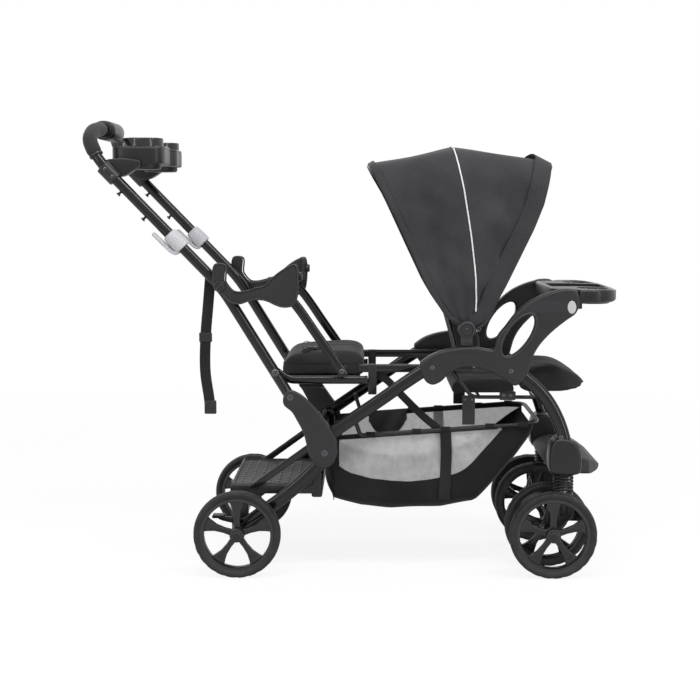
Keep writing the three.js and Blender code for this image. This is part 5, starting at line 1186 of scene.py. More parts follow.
def add_platform_sides():
    """At each side of the platform: the hanger on the axle, the strut up to the leg's hinge, and the rim."""
    for side, sign in SIDES.items():
        inner = sign * (PLATFORM_HALF - 20)
        near, far = sorted((inner, sign * PLATFORM_HALF))
        hanger = block(f"rear_platform_hanger_{side}", (-20, near, 81.5), (20, far, PLATFORM_TOP - 12), 5,
                       "black", "rear_legs", slot="deck_grey")
        bored(hanger, 6.3, -30, 30, (0, inner, WHEEL_RADIUS), ACROSS)
        y = sign * 173
        foot, head = Vector((28, y, 194)), Vector((LEG_HINGE[0] - 8, y, LEG_HINGE[1] - 8))
        skin(f"rear_platform_strut_{side}", [foot, head], rounded(6, 16, 2.6), "tube", "rear_legs", ACROSS,
             slot="black_tube")
        eye = [(-3, 0), (-3, 7), (-2, 8), (15.7, 8), (15.7, 0)]
        turned(f"rear_platform_strut_{side}_eye", eye, tuple(head), (0, sign, 0), "tube", "rear_legs", 28)
        near, far = sorted((sign * (PLATFORM_HALF - 3), sign * (PLATFORM_HALF + 0.8)))
        block(f"rear_platform_side_{side}", (PLATFORM_BACK - 1, near, PLATFORM_TOP - 25),
              (PLATFORM_FRONT - 20, far, PLATFORM_TOP - 5), 1.6, "black", "rear_legs", slot="deck_grey")


def add_pedals():
    """The brake pedals: an arm on the leg's lug and a ribbed tread behind it."""
    x, z = PEDAL_HINGE
    for side, sign in SIDES.items():
        body = f"brake_pedal_{side}"
        near = LEG_Y + 10.3
        far = near + 11
        outline = smooth_loop([(x + back, z + up) for back, up in PEDAL_ARM], 60)
        arm = plate(f"{body}_arm", outline, sign * near, sign * far, 2, "black", body, steps=3,
                    slot="black_plastic", parts=[body])
        bored(arm, 3.9, -20, 20, (x, sign * (near + 5), z), ACROSS, 24)
        inner, outer = sorted((sign * (far - 32), sign * far))
        block(f"{body}_tread", (x - 60, inner, z + 5), (x - 30, outer, z + 12), 2.6, "black", body, steps=4,
              slot="black_plastic")
        for number in range(4):
            at = x - 55.5 + number * 7
            block(f"{body}_rib_{number}", (at - 1.2, inner + 4, z + 11.4), (at + 1.2, outer - 4, z + 12.9),
                  0.5, "black", body, steps=2)


# WHEELS
TYRE_DEPTH, TYRE_WIDTH, RIM_BAND, FRONT_AXLE_X = 17, 34, 6, 733


def tyre(name, centre, body, parts):
    """A tyre turned about Y: a crowned tread with two grooves and a row of sipes at each shoulder."""
    segments, half = 144, TYRE_WIDTH / 2
    inner = WHEEL_RADIUS - TYRE_DEPTH
    profile = [
        (-half * 0.7, inner), (-half * 0.86, inner + 4), (-half * 0.97, inner + 8),
        (-half, WHEEL_RADIUS - 6.5), (-half * 0.93, WHEEL_RADIUS - 3), (-half * 0.74, WHEEL_RADIUS - 1),
        (-half * 0.42, WHEEL_RADIUS - 0.2), (-half * 0.36, WHEEL_RADIUS - 2),
        (-half * 0.27, WHEEL_RADIUS - 2), (-half * 0.21, WHEEL_RADIUS),
    ]
    profile = profile + [(-y, radius) for y, radius in profile[::-1]]
    points = []
    for step in range(segments):
        turn = step / segments * 2 * math.pi
        sipe = step % 6 in (0, 1)
        for y, radius in profile:
            shoulder = abs(y) > half * 0.4 and radius > WHEEL_RADIUS - 5
            reach = radius - (0.8 if sipe and shoulder else 0)
            points.append((centre[0] + reach * math.sin(turn), centre[1] + y,
                           centre[2] + reach * math.cos(turn)))
    obj = mesh_object(name, points, wrapped_faces(segments, len(profile)))
    finish_mesh(obj, "tyre", body, slot="tyre", sharp=35, parts=parts)


RIM_HUB = [
    (-19, 6.4), (-19, 14), (-17.6, 16), (-15, 16.6), (-6, 18), (6, 18), (15, 16.6), (17.6, 16), (19, 14),
    (19, 6.4), (-19, 6.4),
]
RIM_CAP = [(17.4, 13.4), (18.6, 13.2), (19.0, 11.6), (18.6, 10.6), (18.6, 6.4)]
SPOKE_GROOVE = [(-2.4, 22), (-3.6, 46), (-7, 66), (7, 66), (3.6, 46), (2.4, 22)]


def spun(shape, centre, turn):
    """A spoke's outline turned round a wheel's centre in the side plane."""
    right, up = math.cos(turn), math.sin(turn)
    return [(centre[0] + a * right + b * up, centre[2] - a * up + b * right) for a, b in shape]


def rim(name, centre, sign, body, parts=()):
    """A moulded rim: a dished band, five hollow-faced spokes, a hub and a round cap."""
    outer = WHEEL_RADIUS - TYRE_DEPTH
    inner = outer - RIM_BAND
    band_profile = [
        (-12, inner), (-12, outer + 1.4), (-10.6, outer + 2), (-9, outer + 0.2), (9, outer + 0.2),
        (10.6, outer + 2), (12, outer + 1.4), (12, inner), (10.6, inner - 1), (-10.6, inner - 1),
        (-12, inner),
    ]
    turned(f"{name}_band", band_profile, centre, ACROSS, "gloss", body, 96, slot="black_plastic",
           parts=parts)
    spokes = []
    half = [(-7.5, 12), (-6.6, 32), (-8.5, 52), (-14, 68), (-20, inner + 2)]
    spoke = half + [(-a, b) for a, b in half[::-1]]
    for number in range(5):
        turn = number / 5 * 2 * math.pi
        outline, hollow = (spun(shape, centre, turn) for shape in (spoke, SPOKE_GROOVE))
        made = plate(f"{name}_spoke_{number}", outline, centre[1] - 5.5, centre[1] + 5.5, 2, "gloss", body)
        face = sorted((centre[1] + sign * 3.6, centre[1] + sign * 12))
        combined(made, plate("groove_tool", hollow, *face, 0, "black", None))
        spokes.append(made)
    joined(f"{name}_spokes", spokes)
    turned(f"{name}_hub", RIM_HUB, centre, ACROSS, "black", body, 48, slot="black_plastic")
    turned(f"{name}_cap", [(sign * y, radius) for y, radius in RIM_CAP], centre, ACROSS, "gloss", body, 40)


def add_rear_wheels():
    for side, sign in SIDES.items():
        centre = (0, sign * TRACK_HALF, WHEEL_RADIUS)
        body = f"rear_wheel_{side}"
        tyre(f"rear_tyre_{side}_tread", centre, body, [f"rear_tyre_{side}"])
        rim(f"rear_rim_{side}", centre, sign, body, [f"rear_rim_{side}"])


def add_front_wheels():
    for side, sign in SIDES.items():
        for place_name, y in (("outer", TRACK_HALF), ("inner", TRACK_HALF - 120)):
            centre = (FRONT_AXLE_X, sign * y, WHEEL_RADIUS)
            body = f"front_wheel_{place_name}_{side}"
            tyre(f"{body}_tread", centre, body, [body])
            rim(f"{body}_rim", centre, sign, body)


# CASTERS
FORK_HEAD_LOW, FORK_AXLE_HALF = 133.1, 79.3
STEM_FLANGE = [(0, 9), (0, 22), (1, 24), (3, 24), (4, 22.6), (4, 9)]
STEM_SHAFT = [(0, 0), (0, 8), (1, 9), (122, 9), (122.6, 8), (122.6, 0)]
SPRING_RADIUS, SPRING_LOW, SPRING_HEIGHT, SPRING_TURNS, SPRING_STEPS = 21, 194.4, 38, 5, 160
FORK_HEAD = [(0, 0), (0, 17), (2, 20.4), (6, 22), (50, 23), (56, 22.4), (58, 20.6), (58, 9.8), (20, 9.8),
             (20, 0)]
FORK_HUB = [(-40.5, 6.1), (-40.5, 12), (-38, 14.4), (-22, 17), (22, 17), (38, 14.4), (40.5, 12),
            (40.5, 6.1)]
FORK_LEG = [
    (742, 187), (730, 160), (720, 128), (716, 106), (719, 92), (728, 86), (740, 87), (750, 95),
    (764, 118), (782, 136), (786, 152), (786, 172), (784, 187), (763, 189),
]
FORK_CORE = [(744, 186), (734, 158), (728, 136), (742, 122), (760, 128), (778, 142), (783, 160), (782, 186)]


def add_stem(side, y):
    """The stem in its socket, and the coil spring round it."""
    stem = f"caster_{side}"
    turned(f"{stem}_flange", STEM_FLANGE, (CASTER_X, y, 235.7), UP, "black", stem, 44, slot="black_plastic",
           parts=[f"swivel_stem_{side}"])
    turned(f"{stem}_shaft", STEM_SHAFT, (CASTER_X, y, 151.1), UP, "steel", stem, 32)
    run = []
    for step in range(SPRING_STEPS + 1):
        turn = step / SPRING_STEPS * SPRING_TURNS * 2 * math.pi
        run.append((CASTER_X + SPRING_RADIUS * math.cos(turn), y + SPRING_RADIUS * math.sin(turn),
                    SPRING_LOW + step / SPRING_STEPS * SPRING_HEIGHT))
    coil = tube(f"front_spring_{side}_coil", run, 6, 6, "black", stem, sides=12, slot="black_plastic",
                parts=[f"front_spring_{side}"])
    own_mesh(coil)


def add_fork(side, sign, y):
    """The fork that swivels, with its two legs and their core, its hub, its axle and the axle's caps."""
    fork = f"fork_{side}"
    turned(f"{fork}_head", FORK_HEAD, (CASTER_X, y, FORK_HEAD_LOW), UP, "black", fork, 48,
           slot="black_plastic", parts=[f"front_fork_{side}"])
    outline = smooth_loop(FORK_LEG, 90)
    for part, low in (("inner", -20), ("outer", 10)):
        plate(f"{fork}_leg_{part}", outline, y + low, y + low + 10, 3, "black", fork, steps=4,
              slot="black_plastic")
    core = plate(f"{fork}_core", smooth_loop(FORK_CORE, 60), y - 19, y + 19, 4, "black", fork, steps=4,
                 slot="black_plastic")
    bored(core, 9.7, 0, 60, (CASTER_X, y, 139), UP)
    hub_at = (FRONT_AXLE_X, y, WHEEL_RADIUS)
    turned(f"{fork}_hub", FORK_HUB, hub_at, ACROSS, "black", fork, 44, slot="black_plastic")
    turned(f"{fork}_axle", rod(FORK_AXLE_HALF), hub_at, ACROSS, "steel", fork, 24)
    for turn in (1, -1):
        name = f"{fork}_cap_{'outer' if turn == sign else 'inner'}"
        cap_at = (FRONT_AXLE_X, y + turn * FORK_AXLE_HALF, WHEEL_RADIUS)
        turned(name, AXLE_CAP, cap_at, (0, turn, 0), "black", fork, 32)


def add_casters():
    for side, sign in SIDES.items():
        add_stem(side, sign * TWIN_Y)
        add_fork(side, sign, sign * TWIN_Y)


# CHILD'S TRAY
CHILD_BACK, CHILD_DEPTH, CHILD_LOW, CHILD_TOP, CHILD_HALF, CHILD_INSIDE = 790.3, 108, 638, 668, 228, 204.2
CHILD_PLAN = [(0, 1), (0.45, 0.98), (0.72, 0.86), (0.9, 0.6), (1, 0.25)]
CHILD_PROFILE = [(0, 0.1), (0, 0.9), (0.06, 1), (0.6, 0.97), (0.9, 0.88), (0.98, 0.7), (1, 0.3), (0.96, 0),
                 (0.04, 0)]
CHILD_BAY = [(0, CHILD_INSIDE), (30, 198), (52, 184), (58, 160)]
CHILD_CUP_X, CHILD_CUP_Y = 833.5, 132
CHILD_CUP_RING = [
    (0, 36.8), (0, 43), (3.4, 43.4), (5.2, 42.4), (5.8, 40.4), (5.4, 38), (3.8, 36.8), (0, 36.8),
]


def child_plan():
    right = [(CHILD_BACK + x * CHILD_DEPTH, -y * CHILD_HALF) for x, y in CHILD_PLAN]
    front = curved([(x, y, 0) for x, y in right + [(x, -y) for x, y in right][::-1]], 90)
    back = [(CHILD_BACK - deep, y) for deep, y in CHILD_BAY]
    return [(p.x, p.y) for p in front] + back + [(x, -y) for x, y in back[::-1]]


def add_child_tray():
    """The tray that slides into the armrests: a rounded slab, two ringed cups and a middle well."""
    slot = "black_plastic"
    body = plate("child_tray_top", child_plan(), CHILD_LOW, CHILD_TOP, 5, "black", "child_tray",
                 flat="plan", steps=5, slot=slot, parts=["child_tray"])
    profile = smooth_loop(spread(CHILD_PROFILE, (730.3, CHILD_LOW), 170, 30), 80)
    combined(body, plate("profile_tool", profile, -230, 230, 0, "black", None), "INTERSECT")
    carved(body, (744.3, -66, 646), (876.7, 66, 700), 8)
    for side, sign in SIDES.items():
        bored(body, 37, 0, 60, (CHILD_CUP_X, sign * CHILD_CUP_Y, 636), UP, 64)
        cup(f"child_cup_{side}", CHILD_CUP_X, sign * CHILD_CUP_Y, 632, 36.9, 41, 30, "child_tray")
        turned(f"child_cup_{side}_ring", CHILD_CUP_RING, (CHILD_CUP_X, sign * CHILD_CUP_Y, 662), UP,
               "gloss", "child_tray", 72, slot=slot)
        near, far = sorted((sign * (TONGUE_Y - 4), sign * (TONGUE_Y + 4)))
        block(f"child_tray_tongue_{side}", (745, near, 624.1), (797, far, 648.1), 1.5, "black",
              "child_tray", slot=slot)
    middle = Vector((815, 0, CHILD_TOP))
    inset = []
    for x, y in child_plan():
        point = Vector((x, y, CHILD_TOP - 1.2))
        away = (middle - point).normalized() * 9
        height = CHILD_TOP - 0.7 - 4.6 * max(0.0, (point.x - 832) / 66) ** 2
        inset.append(Vector((point.x + away.x, point.y + away.y, height)))
    cord("child_tray_bead", inset, 3.4, 2.6, "gloss", "child_tray", slot=slot)


# CANOPY FRAME
PIVOT_X, PIVOT_Z, CANOPY_Y, BOW_PITCH, BOW_CORNER, BOW_CROWN = 531.97, 575.576, 196, 6.5, 70, 8
REAR_BOW = (math.radians(-30.65), 436)
MID_BOW = (math.radians(-4), 414)
FRONT_BOW = (math.radians(27.3), 427)
BOW_EYE = [(-2.5, 5.4), (-2.5, 14), (-1.5, 15), (1.5, 15), (2.5, 14), (2.5, 5.4), (-2.5, 5.4)]
CANOPY_DISC = [
    (0, 5), (0, 19), (1.4, 21), (15, 21), (18.4, 19.4), (19.6, 17), (19.8, 15), (18.6, 14.2), (18.4, 12.6),
    (19.4, 11.8), (19.6, 9), (19.2, 7.6), (18.2, 7.4), (18.2, 5), (0, 5),
]
CANOPY_PIN = [(0, 0), (0, 4.8), (27, 4.8), (27, 0)]


def canopy_point(angle, reach, y):
    return Vector((PIVOT_X + reach * math.sin(angle), y, PIVOT_Z + reach * math.cos(angle)))


def ahead_of(angle):
    """The direction square to a bow that leans by an angle."""
    return canopy_point(angle + math.pi / 2, 1, 0) - canopy_point(0, 0, 0)


def bow_run(angle, start, reach, y, corner_steps=14, straight=12):
    """Up one side, round the corner, over a gently crowned top and down again."""
    near = [canopy_point(angle, start + step / straight * (reach - BOW_CORNER - start),
                         y) for step in range(straight)]
    for step in range(corner_steps + 1):
        bend = step / corner_steps * math.pi / 2
        height = reach - BOW_CORNER * (1 - math.sin(bend))
        near.append(canopy_point(angle, height, y - BOW_CORNER * (1 - math.cos(bend))))
    flat = y - BOW_CORNER
    for step in range(1, straight):
        share = step / straight
        crown = BOW_CROWN * math.sin(share * math.pi / 2)
        near.append(canopy_point(angle, reach + crown, flat * (1 - share)))
    far = [Vector((p.x, -p.y, p.z)) for p in near][::-1]
    return [*near, canopy_point(angle, reach + BOW_CROWN, 0), *far]


def add_bows():
    for name, body, (angle, reach), order in (
        ("canopy_rear_bow", "frame", REAR_BOW, 0), ("canopy_mid_bow", "canopy_mid", MID_BOW, 1),
        ("canopy_front_bow", "canopy_front", FRONT_BOW, 2),
    ):
        y = CANOPY_Y + (order - 1) * BOW_PITCH
        run = bow_run(angle, 8, reach, y)
        skin(f"{name}_strip", run, rounded(12, 5, 2, 3), "black", body, ahead_of(angle),
             slot="black_plastic", parts=[name])
        for side, sign in SIDES.items():
            turned(f"{name}_eye_{side}", BOW_EYE, (PIVOT_X, sign * y, PIVOT_Z), (0, sign, 0), "black", body,
                   40, slot="black_plastic")


def add_canopy_hubs():
    """The hub at each side: a round cover with a ring groove, a screw, and a square foot with teeth."""
    near = CANOPY_Y + 1.5 * BOW_PITCH + 2.8
    far = near + 20
    for side, sign in SIDES.items():
        turned(f"canopy_hub_{side}_disc", CANOPY_DISC, (PIVOT_X, sign * near, PIVOT_Z), (0, sign, 0),
               "charcoal", "frame", 56, slot="charcoal_plastic", parts=[f"canopy_hub_{side}"])
        screw(f"canopy_hub_{side}_screw", PIVOT_X, sign * (near + 18.2), PIVOT_Z, 9, "frame", sign, "gloss")
        low, high = sorted((sign * near, sign * (far - 2)))
        block(f"canopy_hub_{side}_foot", (PIVOT_X - 13, low, 537.4), (PIVOT_X + 13, high, 562), 2.5,
              "charcoal", "frame", slot="charcoal_plastic")
        tooth = sorted((sign * (far - 4), sign * (far - 0.9)))
        for number in range(3):
            x = PIVOT_X - 8 + number * 8
            block(f"canopy_hub_{side}_tooth_{number}", (x - 2.6, tooth[0], 541), (x + 2.6, tooth[1], 549),
                  0.9, "gloss", "frame")
        turned(f"canopy_hub_{side}_pin", CANOPY_PIN, (PIVOT_X, sign * (near - 23.5), PIVOT_Z),
               (0, sign, 0), "bolt", "frame", 24)


def cloth_sheet(name, rows, thick, paint):
    """A closed cloth over a grid of points, with its outer face on the grid and its inner one below."""
    count = len(rows[0])
    middle = sum((point for row in rows for point in row), Vector()) / (count * len(rows))
    inner = []
    for r, row in enumerate(rows):
        line = []
        for c, point in enumerate(row):
            along = rows[min(r + 1, len(rows) - 1)][c] - rows[max(r - 1, 0)][c]
            cross = row[min(c + 1, count - 1)] - row[max(c - 1, 0)]
            normal = along.cross(cross)
            if normal.length < 1e-6:
                normal = point - middle
            normal.normalize()
            line.append((point, normal))
        inner.append(line)
    facing = sum(normal.dot(point - middle) for line in inner for point, normal in line)
    turn = 1 if facing > 0 else -1
    under = [[point - normal * turn * thick for point, normal in line] for line in inner]
    points = [point for row in rows for point in row] + [point for row in under for point in row]
    base = count * len(rows)
    faces = []
    for r in range(len(rows) - 1):
        for c in range(count - 1):
            a = r * count + c
            faces.append((a, a + 1, a + 1 + count, a + count))
            faces.append((base + a + count, base + a + 1 + count, base + a + 1, base + a))
    edge = list(range(count)) + [r * count + count - 1 for r in range(1, len(rows))]
    edge += [(len(rows) - 1) * count + c for c in range(count - 2, -1, -1)]
    edge += [r * count for r in range(len(rows) - 2, 0, -1)]
    for a, b in zip(edge, edge[1:] + edge[:1]):
        faces.append((b, a, base + a, base + b))
    return finish_mesh(mesh_object(name, points, faces), paint, None, sharp=60)


CANOPY_LIFT, CANOPY_THICK, CANOPY_START = 4.8, 1.6, 10
# How far the cloth stands ahead of the line of each bow, by the share of the bow's reach from the pivot
FLARES = {
    "rear": [(0.02, -6), (0.05, -16), (0.12, -27), (0.2, -29), (0.29, -28), (0.53, -18), (0.77, -7.5),
             (1, 0)],
    "mid": [(0.02, 5), (0.06, 18), (0.11, 26), (0.3, 29), (0.52, 24.5), (0.79, 14), (1, 0)],
    "front": [(0.02, 20), (0.05, 31), (0.1, 36), (0.38, 33), (0.64, 30), (0.78, 24), (0.92, 9), (1, 0)],
}
HEM_WIDTHS = {"front": 42, "rear": 15}


def line_at(points, x):
    for (a, low), (b, high) in zip(points, points[1:]):
        if x <= b:
            return low + (x - a) / (b - a) * (high - low)
    return points[-1][1]


def flared(run, angle, reach, amount, shift=0.0):
    """A bow's run moved square to the bow, by an amount for each share of the reach, and by a shift."""
    ahead = ahead_of(angle)
    moved = []
    for point in run:
        share = math.hypot(point.x - PIVOT_X, point.z - PIVOT_Z) / reach
        moved.append(point + ahead * (amount(min(share, 1)) + shift))
    return moved


def over_bow(name, bow, start, lift, shift=0.0):
    """A run over a bow's cloth along the flare of that bow."""
    angle, reach = bow
    run = bow_run(angle, start, reach + lift, CANOPY_Y + BOW_PITCH + lift)
    return flared(run, angle, reach, lambda share: line_at(FLARES[name], share), shift)


def canopy_rows(name, first, last, rows=22):
    """Points of one canopy panel, which sags between its bows and has folds that run up from the pivots."""
    made = []
    half = CANOPY_Y + BOW_PITCH + CANOPY_LIFT
    start, end = (FLARES[bow] for bow in (("rear", "mid") if name == "rear" else ("mid", "front")))
    for row in range(rows + 1):
        share = row / rows
        angle = first[0] + share * (last[0] - first[0])
        reach = first[1] + share * (last[1] - first[1])
        hollow = math.sin(share * math.pi)
        bow = bow_run(angle, CANOPY_START, reach + CANOPY_LIFT, half, straight=24)
        run = flared(bow, angle, reach,
                     lambda up, s=share: line_at(start, up) * (1 - s) + line_at(end, up) * s)
        line = []
        for own, point in zip(bow, run):
            low = max(0.0, 1 - math.hypot(own.x - PIVOT_X, own.z - PIVOT_Z) / reach)
            over = min(1.0, (half - abs(point.y)) / BOW_CORNER)
            sag = hollow * (3 + 12 * over)
            loose = hollow ** 1.6 * min(1.0, low * 5) * (1 - low ** 5)
            folds = math.sin(share * 5 * math.pi + 4 * low) * 2.4 * hollow * min(1.0, low * 4)
            folds += math.sin(20 * low + 5 * share + 1.6 * math.sin(4 * share)) * 4.6 * loose
            folds += math.sin(33 * low - 8 * share + 2 * math.sin(3 * share)) ** 3 * 3.6 * loose
            up = (point - Vector((PIVOT_X, point.y, PIVOT_Z))).normalized()
            out = (up * over + Vector((0, math.copysign(1 - over, point.y), 0))).normalized()
            line.append(point - out * (sag + folds))
        made.append(line)
    return made


def add_canopy():
    """The canopy's two cloth panels, the pale piping over the middle bow, and the hems at both ends."""
    gap = 0.006
    panels = (
        ("rear", REAR_BOW, (MID_BOW[0] - gap, MID_BOW[1]), ("frame", "canopy_mid")),
        ("front", (MID_BOW[0] + gap, MID_BOW[1]), FRONT_BOW, ("canopy_mid", "canopy_front")),
    )
    for name, first, last, bodies in panels:
        rows = canopy_rows(name, first, last)
        obj = cloth_sheet(f"canopy_{name}_cloth", rows, CANOPY_THICK, "canopy")
        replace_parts(obj, f"canopy_{name}_panel")
        width = max((rows[-1][c] - rows[0][c]).length for c in range(len(rows[0]))) * MM * 1.08
        middle = (first[0] + last[0]) / 2
        turn = Vector((math.cos(middle), 0, -math.sin(middle)))
        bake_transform(obj)
    run = over_bow("mid", MID_BOW, CANOPY_START + 30, CANOPY_LIFT + 0.6)
    tube("canopy_piping", run, 3.6, 3.6, "piping", "canopy_mid", sides=10)
    for name, body, bow, turn in (("front", "canopy_front", FRONT_BOW, -1), ("rear", "frame", REAR_BOW, 1)):
        width = HEM_WIDTHS[name]
        run = over_bow(name, bow, CANOPY_START, CANOPY_LIFT + 0.2, turn * (width / 2 - 1))
        wide = rounded(width, 1.8, 0.8, 2)

        def section(share, wide=wide):
            near = min(share, 1 - share) * 2
            narrow = min(1.0, 0.45 + near * 6)
            return [(a * narrow, b) for a, b in wide]

        skin(f"canopy_{name}_hem", run, section, "canopy", body, ahead_of(bow[0]), slot="fabric")
        seam = over_bow(name, bow, CANOPY_START + 30, CANOPY_LIFT, turn * (width - 1.5))
        tube(f"canopy_{name}_seam", seam, 1.8, 1.8, "binding", body, sides=8)


# PADDED PIECES
def layout(point):
    """A row-frame point in metres as a point of the layout in millimetres."""
    return Vector((point.x / MM - SHIFT, point.y / MM, point.z / MM))


def groove(value, seams, half):
    """1 on a seam, falling to 0 at half a groove's width from it."""
    return max(1 - min(abs(value - seam) / half, 1) for seam in seams)


def near_seam(value, seams, reach):
    """Whether a value is within reach of one of the seams."""
    return any(abs(value - seam) < reach for seam in seams)


def cushion_rows(outline, corner, middle_x, half, rows=44, squareness=6, end=0.3):
    """Copies of a side outline across the seat, drawn in and lowered towards both ends."""
    made = []
    for row in range(rows + 1):
        share = -1 + 2 * row / rows
        y = half * math.sin(share * math.pi / 2)
        fullness = max(math.sqrt(max(1 - abs(share) ** squareness, 0)), end)
        ends = 1 - 0.06 * (1 - fullness)
        made.append([Vector((middle_x + (x - middle_x) * ends, y,
                             corner + (z - corner) * fullness)) for x, z in outline])
    return made


CELL, FILL_STEPS = 5.0, 20
CLOTH_SETTINGS = {
    "vertex_group_mass": "held", "quality": 6, "mass": 0.25, "tension_stiffness": 12,
    "compression_stiffness": 12, "shear_stiffness": 6, "bending_stiffness": 0.6, "use_pressure": True,
}


def filled(obj, held, reach, pressure):
    """Fills a pad with a short cloth simulation. Held points stay still, and none moves past reach."""
    graph = bpy.context.evaluated_depsgraph_get
    cells = obj.modifiers.new("cells", "REMESH")
    cells.mode = "VOXEL"
    cells.voxel_size = CELL * MM
    mesh = evaluated_mesh(obj)
    obj.modifiers.clear()
    obj.data = mesh
    start = [vert.co.copy() for vert in mesh.vertices]
    pins = obj.vertex_groups.new(name="held")
    for vert in mesh.vertices:
        weight = held(layout(vert.co))
        if weight > 0:
            pins.add([vert.index], weight, "REPLACE")
    cloth = obj.modifiers.new("fill", "CLOTH")
    for name, value in CLOTH_SETTINGS.items():
        setattr(cloth.settings, name, value)
    cloth.settings.uniform_pressure_force = pressure
    cloth.settings.effector_weights.gravity = 0
    cloth.point_cache.frame_start = 1
    cloth.point_cache.frame_end = FILL_STEPS
    for step in range(1, FILL_STEPS + 1):
        bpy.context.scene.frame_set(step)
    moved = obj.evaluated_get(graph()).to_mesh()
    places = [vert.co.copy() for vert in moved.vertices]
    obj.evaluated_get(graph()).to_mesh_clear()
    obj.modifiers.clear()
    obj.vertex_groups.clear()
    for vert, was, now in zip(mesh.vertices, start, places):
        step = now - was
        limit = reach * MM
        if step.length > limit:
            step = step.normalized() * limit
        vert.co = was + step
    bpy.context.scene.frame_set(1)
    finer = obj.modifiers.new("finer", "SUBSURF")
    finer.levels = 1
    finer.render_levels = 1
    mesh = evaluated_mesh(obj)
    obj.modifiers.clear()
    obj.data = mesh
    for polygon in mesh.polygons:
        polygon.use_smooth = True


def pad(name, rows, body, node, held, reach, pressure):
    obj = grid_object(name, rows)
    finish_mesh(obj, "pad", body, slot="fabric", sharp=70)
    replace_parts(obj, node)
    filled(obj, held, reach, pressure)


BENCH_SHARES = [
    (0.02, 0), (0, 0.35), (0.04, 0.62), (0.12, 0.82), (0.3, 0.93), (0.6, 1), (0.88, 0.97), (0.98, 0.78),
    (1, 0.4), (0.98, 0),
]
SEAT_SHARES = [(0, 0), (0, 0.5), (0.06, 0.85), (0.3, 0.95), (0.7, 1), (0.95, 0.9), (1, 0.5), (1, 0)]
CALF_SHARES = [
    (0, 0.449), (0.061, 0.71), (0.215, 0.884), (0.399, 1), (0.595, 1), (0.828, 0.768),
    (1, 0.435), (0.963, 0.275), (0.767, 0.072), (0.552, 0), (0.276, 0), (0.061, 0.087),
]


def pad_outline(shares, corner, length, height, shrink=0.0, count=72):
    outline = smooth_loop(spread(shares, corner, length, height), count)
    middle = (corner[0] + length / 2, corner[1] + height / 2)
    made = []
    for x, z in outline:
        x, z = max(x, corner[0]), max(z, corner[1])
        away = Vector((middle[0] - x, middle[1] - z))
        step = away.normalized() * min(shrink, away.length / 2) if away.length > 0 else away
        made.append((x + step.x, max(z + step.y, corner[1])))
    return made


# The bench's cushion: its rear lower corner, its middle, the height of its piping and its quilting seams
BENCH_CORNER, BENCH_MIDDLE, PIPING_Z = (97, 461.9), 197, 488.9
BENCH_SEAMS = (-98, -49, 0, 49, 98)
BENCH_LOOP = [(150, -112, 519), (146, -114, 531), (156, -117, 539), (168, -118, 535), (172, -116, 524),
              (166, -112, 518)]
BENCH_STRAP = [(186, -70, 519), (180, -90, 522), (170, -112, 522.5), (160, -126, 520), (152, -134, 514)]


def bench_held(p):
    low = BENCH_CORNER[1]
    quilted = p.z > low + 30 and near_seam(p.y, BENCH_SEAMS, 3.5)
    return 1.0 if p.z < low + 5 or quilted or abs(p.z - (low + 27)) < 2.6 else 0.0


def piping_run(rows):
    """The points of the cushion's front and then of its rear that lie nearest to the piping's height."""
    run = []
    for turn, order in ((1, rows), (-1, rows[::-1])):
        for row in order:
            level = [p for p in row if (p.x - BENCH_MIDDLE) * turn > 0 and abs(p.z - PIPING_Z) < 7]
            if level:
                nearest = min(level, key=lambda p: abs(p.z - PIPING_Z))
                run.append(Vector((nearest.x + 1.2 * turn, nearest.y, PIPING_Z)))
    return curved(run, 160, closed=True)


def add_bench_cushion():
    """The rear bench's box cushion: quilted channels on top, piping round it, a small loop and a strap."""
    low = BENCH_CORNER[1]
    outline = pad_outline(BENCH_SHARES, BENCH_CORNER, 200, 60, 4)
    rows = cushion_rows(outline, low, BENCH_MIDDLE, 147, squareness=9, end=0.62)
    for row in rows:
        for number, p in enumerate(row):
            top = max(0.0, (p.z - low - 22) / 36)
            row[number] = Vector((p.x, p.y, p.z - 4.2 * groove(p.y, BENCH_SEAMS, 5.5) * min(top, 1)))
            side = 2.2 * groove(p.z, (low + 27,), 4)
            if side > 0:
                row[number] += Vector(((BENCH_MIDDLE - p.x) / 100 * side, -p.y / 150 * side, 0))
    pad("bench_cushion_pad", rows, "bench", "bench_cushion", bench_held, 7, 3.2)
    cord("bench_cushion_piping", piping_run(rows), 3.4, 3.4, "binding", "bench")
    band("bench_cushion_loop", curved(BENCH_LOOP, 40), 5, 1.4, "lining", "bench", ACROSS)
    band("bench_cushion_strap", curved(BENCH_STRAP, 24), 16, 2, "webbing", "bench", AHEAD)
    block("bench_cushion_buckle", (160, -122, 519.5), (182, -100, 526), 2, "black", "bench")


SEAT_CORNER, CALF_CORNER = (500, 418.9), (655, 418.9)
SEAT_SEAMS = (-92, -46, 0, 46, 92)


def seat_held(p):
    return 1.0 if p.z < SEAT_CORNER[1] + 4 or near_seam(p.y, SEAT_SEAMS, 3.5) else 0.0


def add_seat_pad():
    rows = cushion_rows(pad_outline(SEAT_SHARES, SEAT_CORNER, 152, 34, 2.5), SEAT_CORNER[1], 576, 145)
    for row in rows:
        for number, p in enumerate(row):
            if p.z > SEAT_CORNER[1] + 14:
                row[number] = Vector((p.x, p.y, p.z - 3.4 * groove(p.y, SEAT_SEAMS, 6)))
    pad("seat_pad_cloth", rows, "frame", "seat_pad", seat_held, 6, 3.0)


def calf_held(p):
    if p.x < 664 or p.x > 808 or (abs(p.y) < 4 and p.z > 450):
        return 1.0
    return 0.6 if abs(p.z - 452) < 3 else 0.0


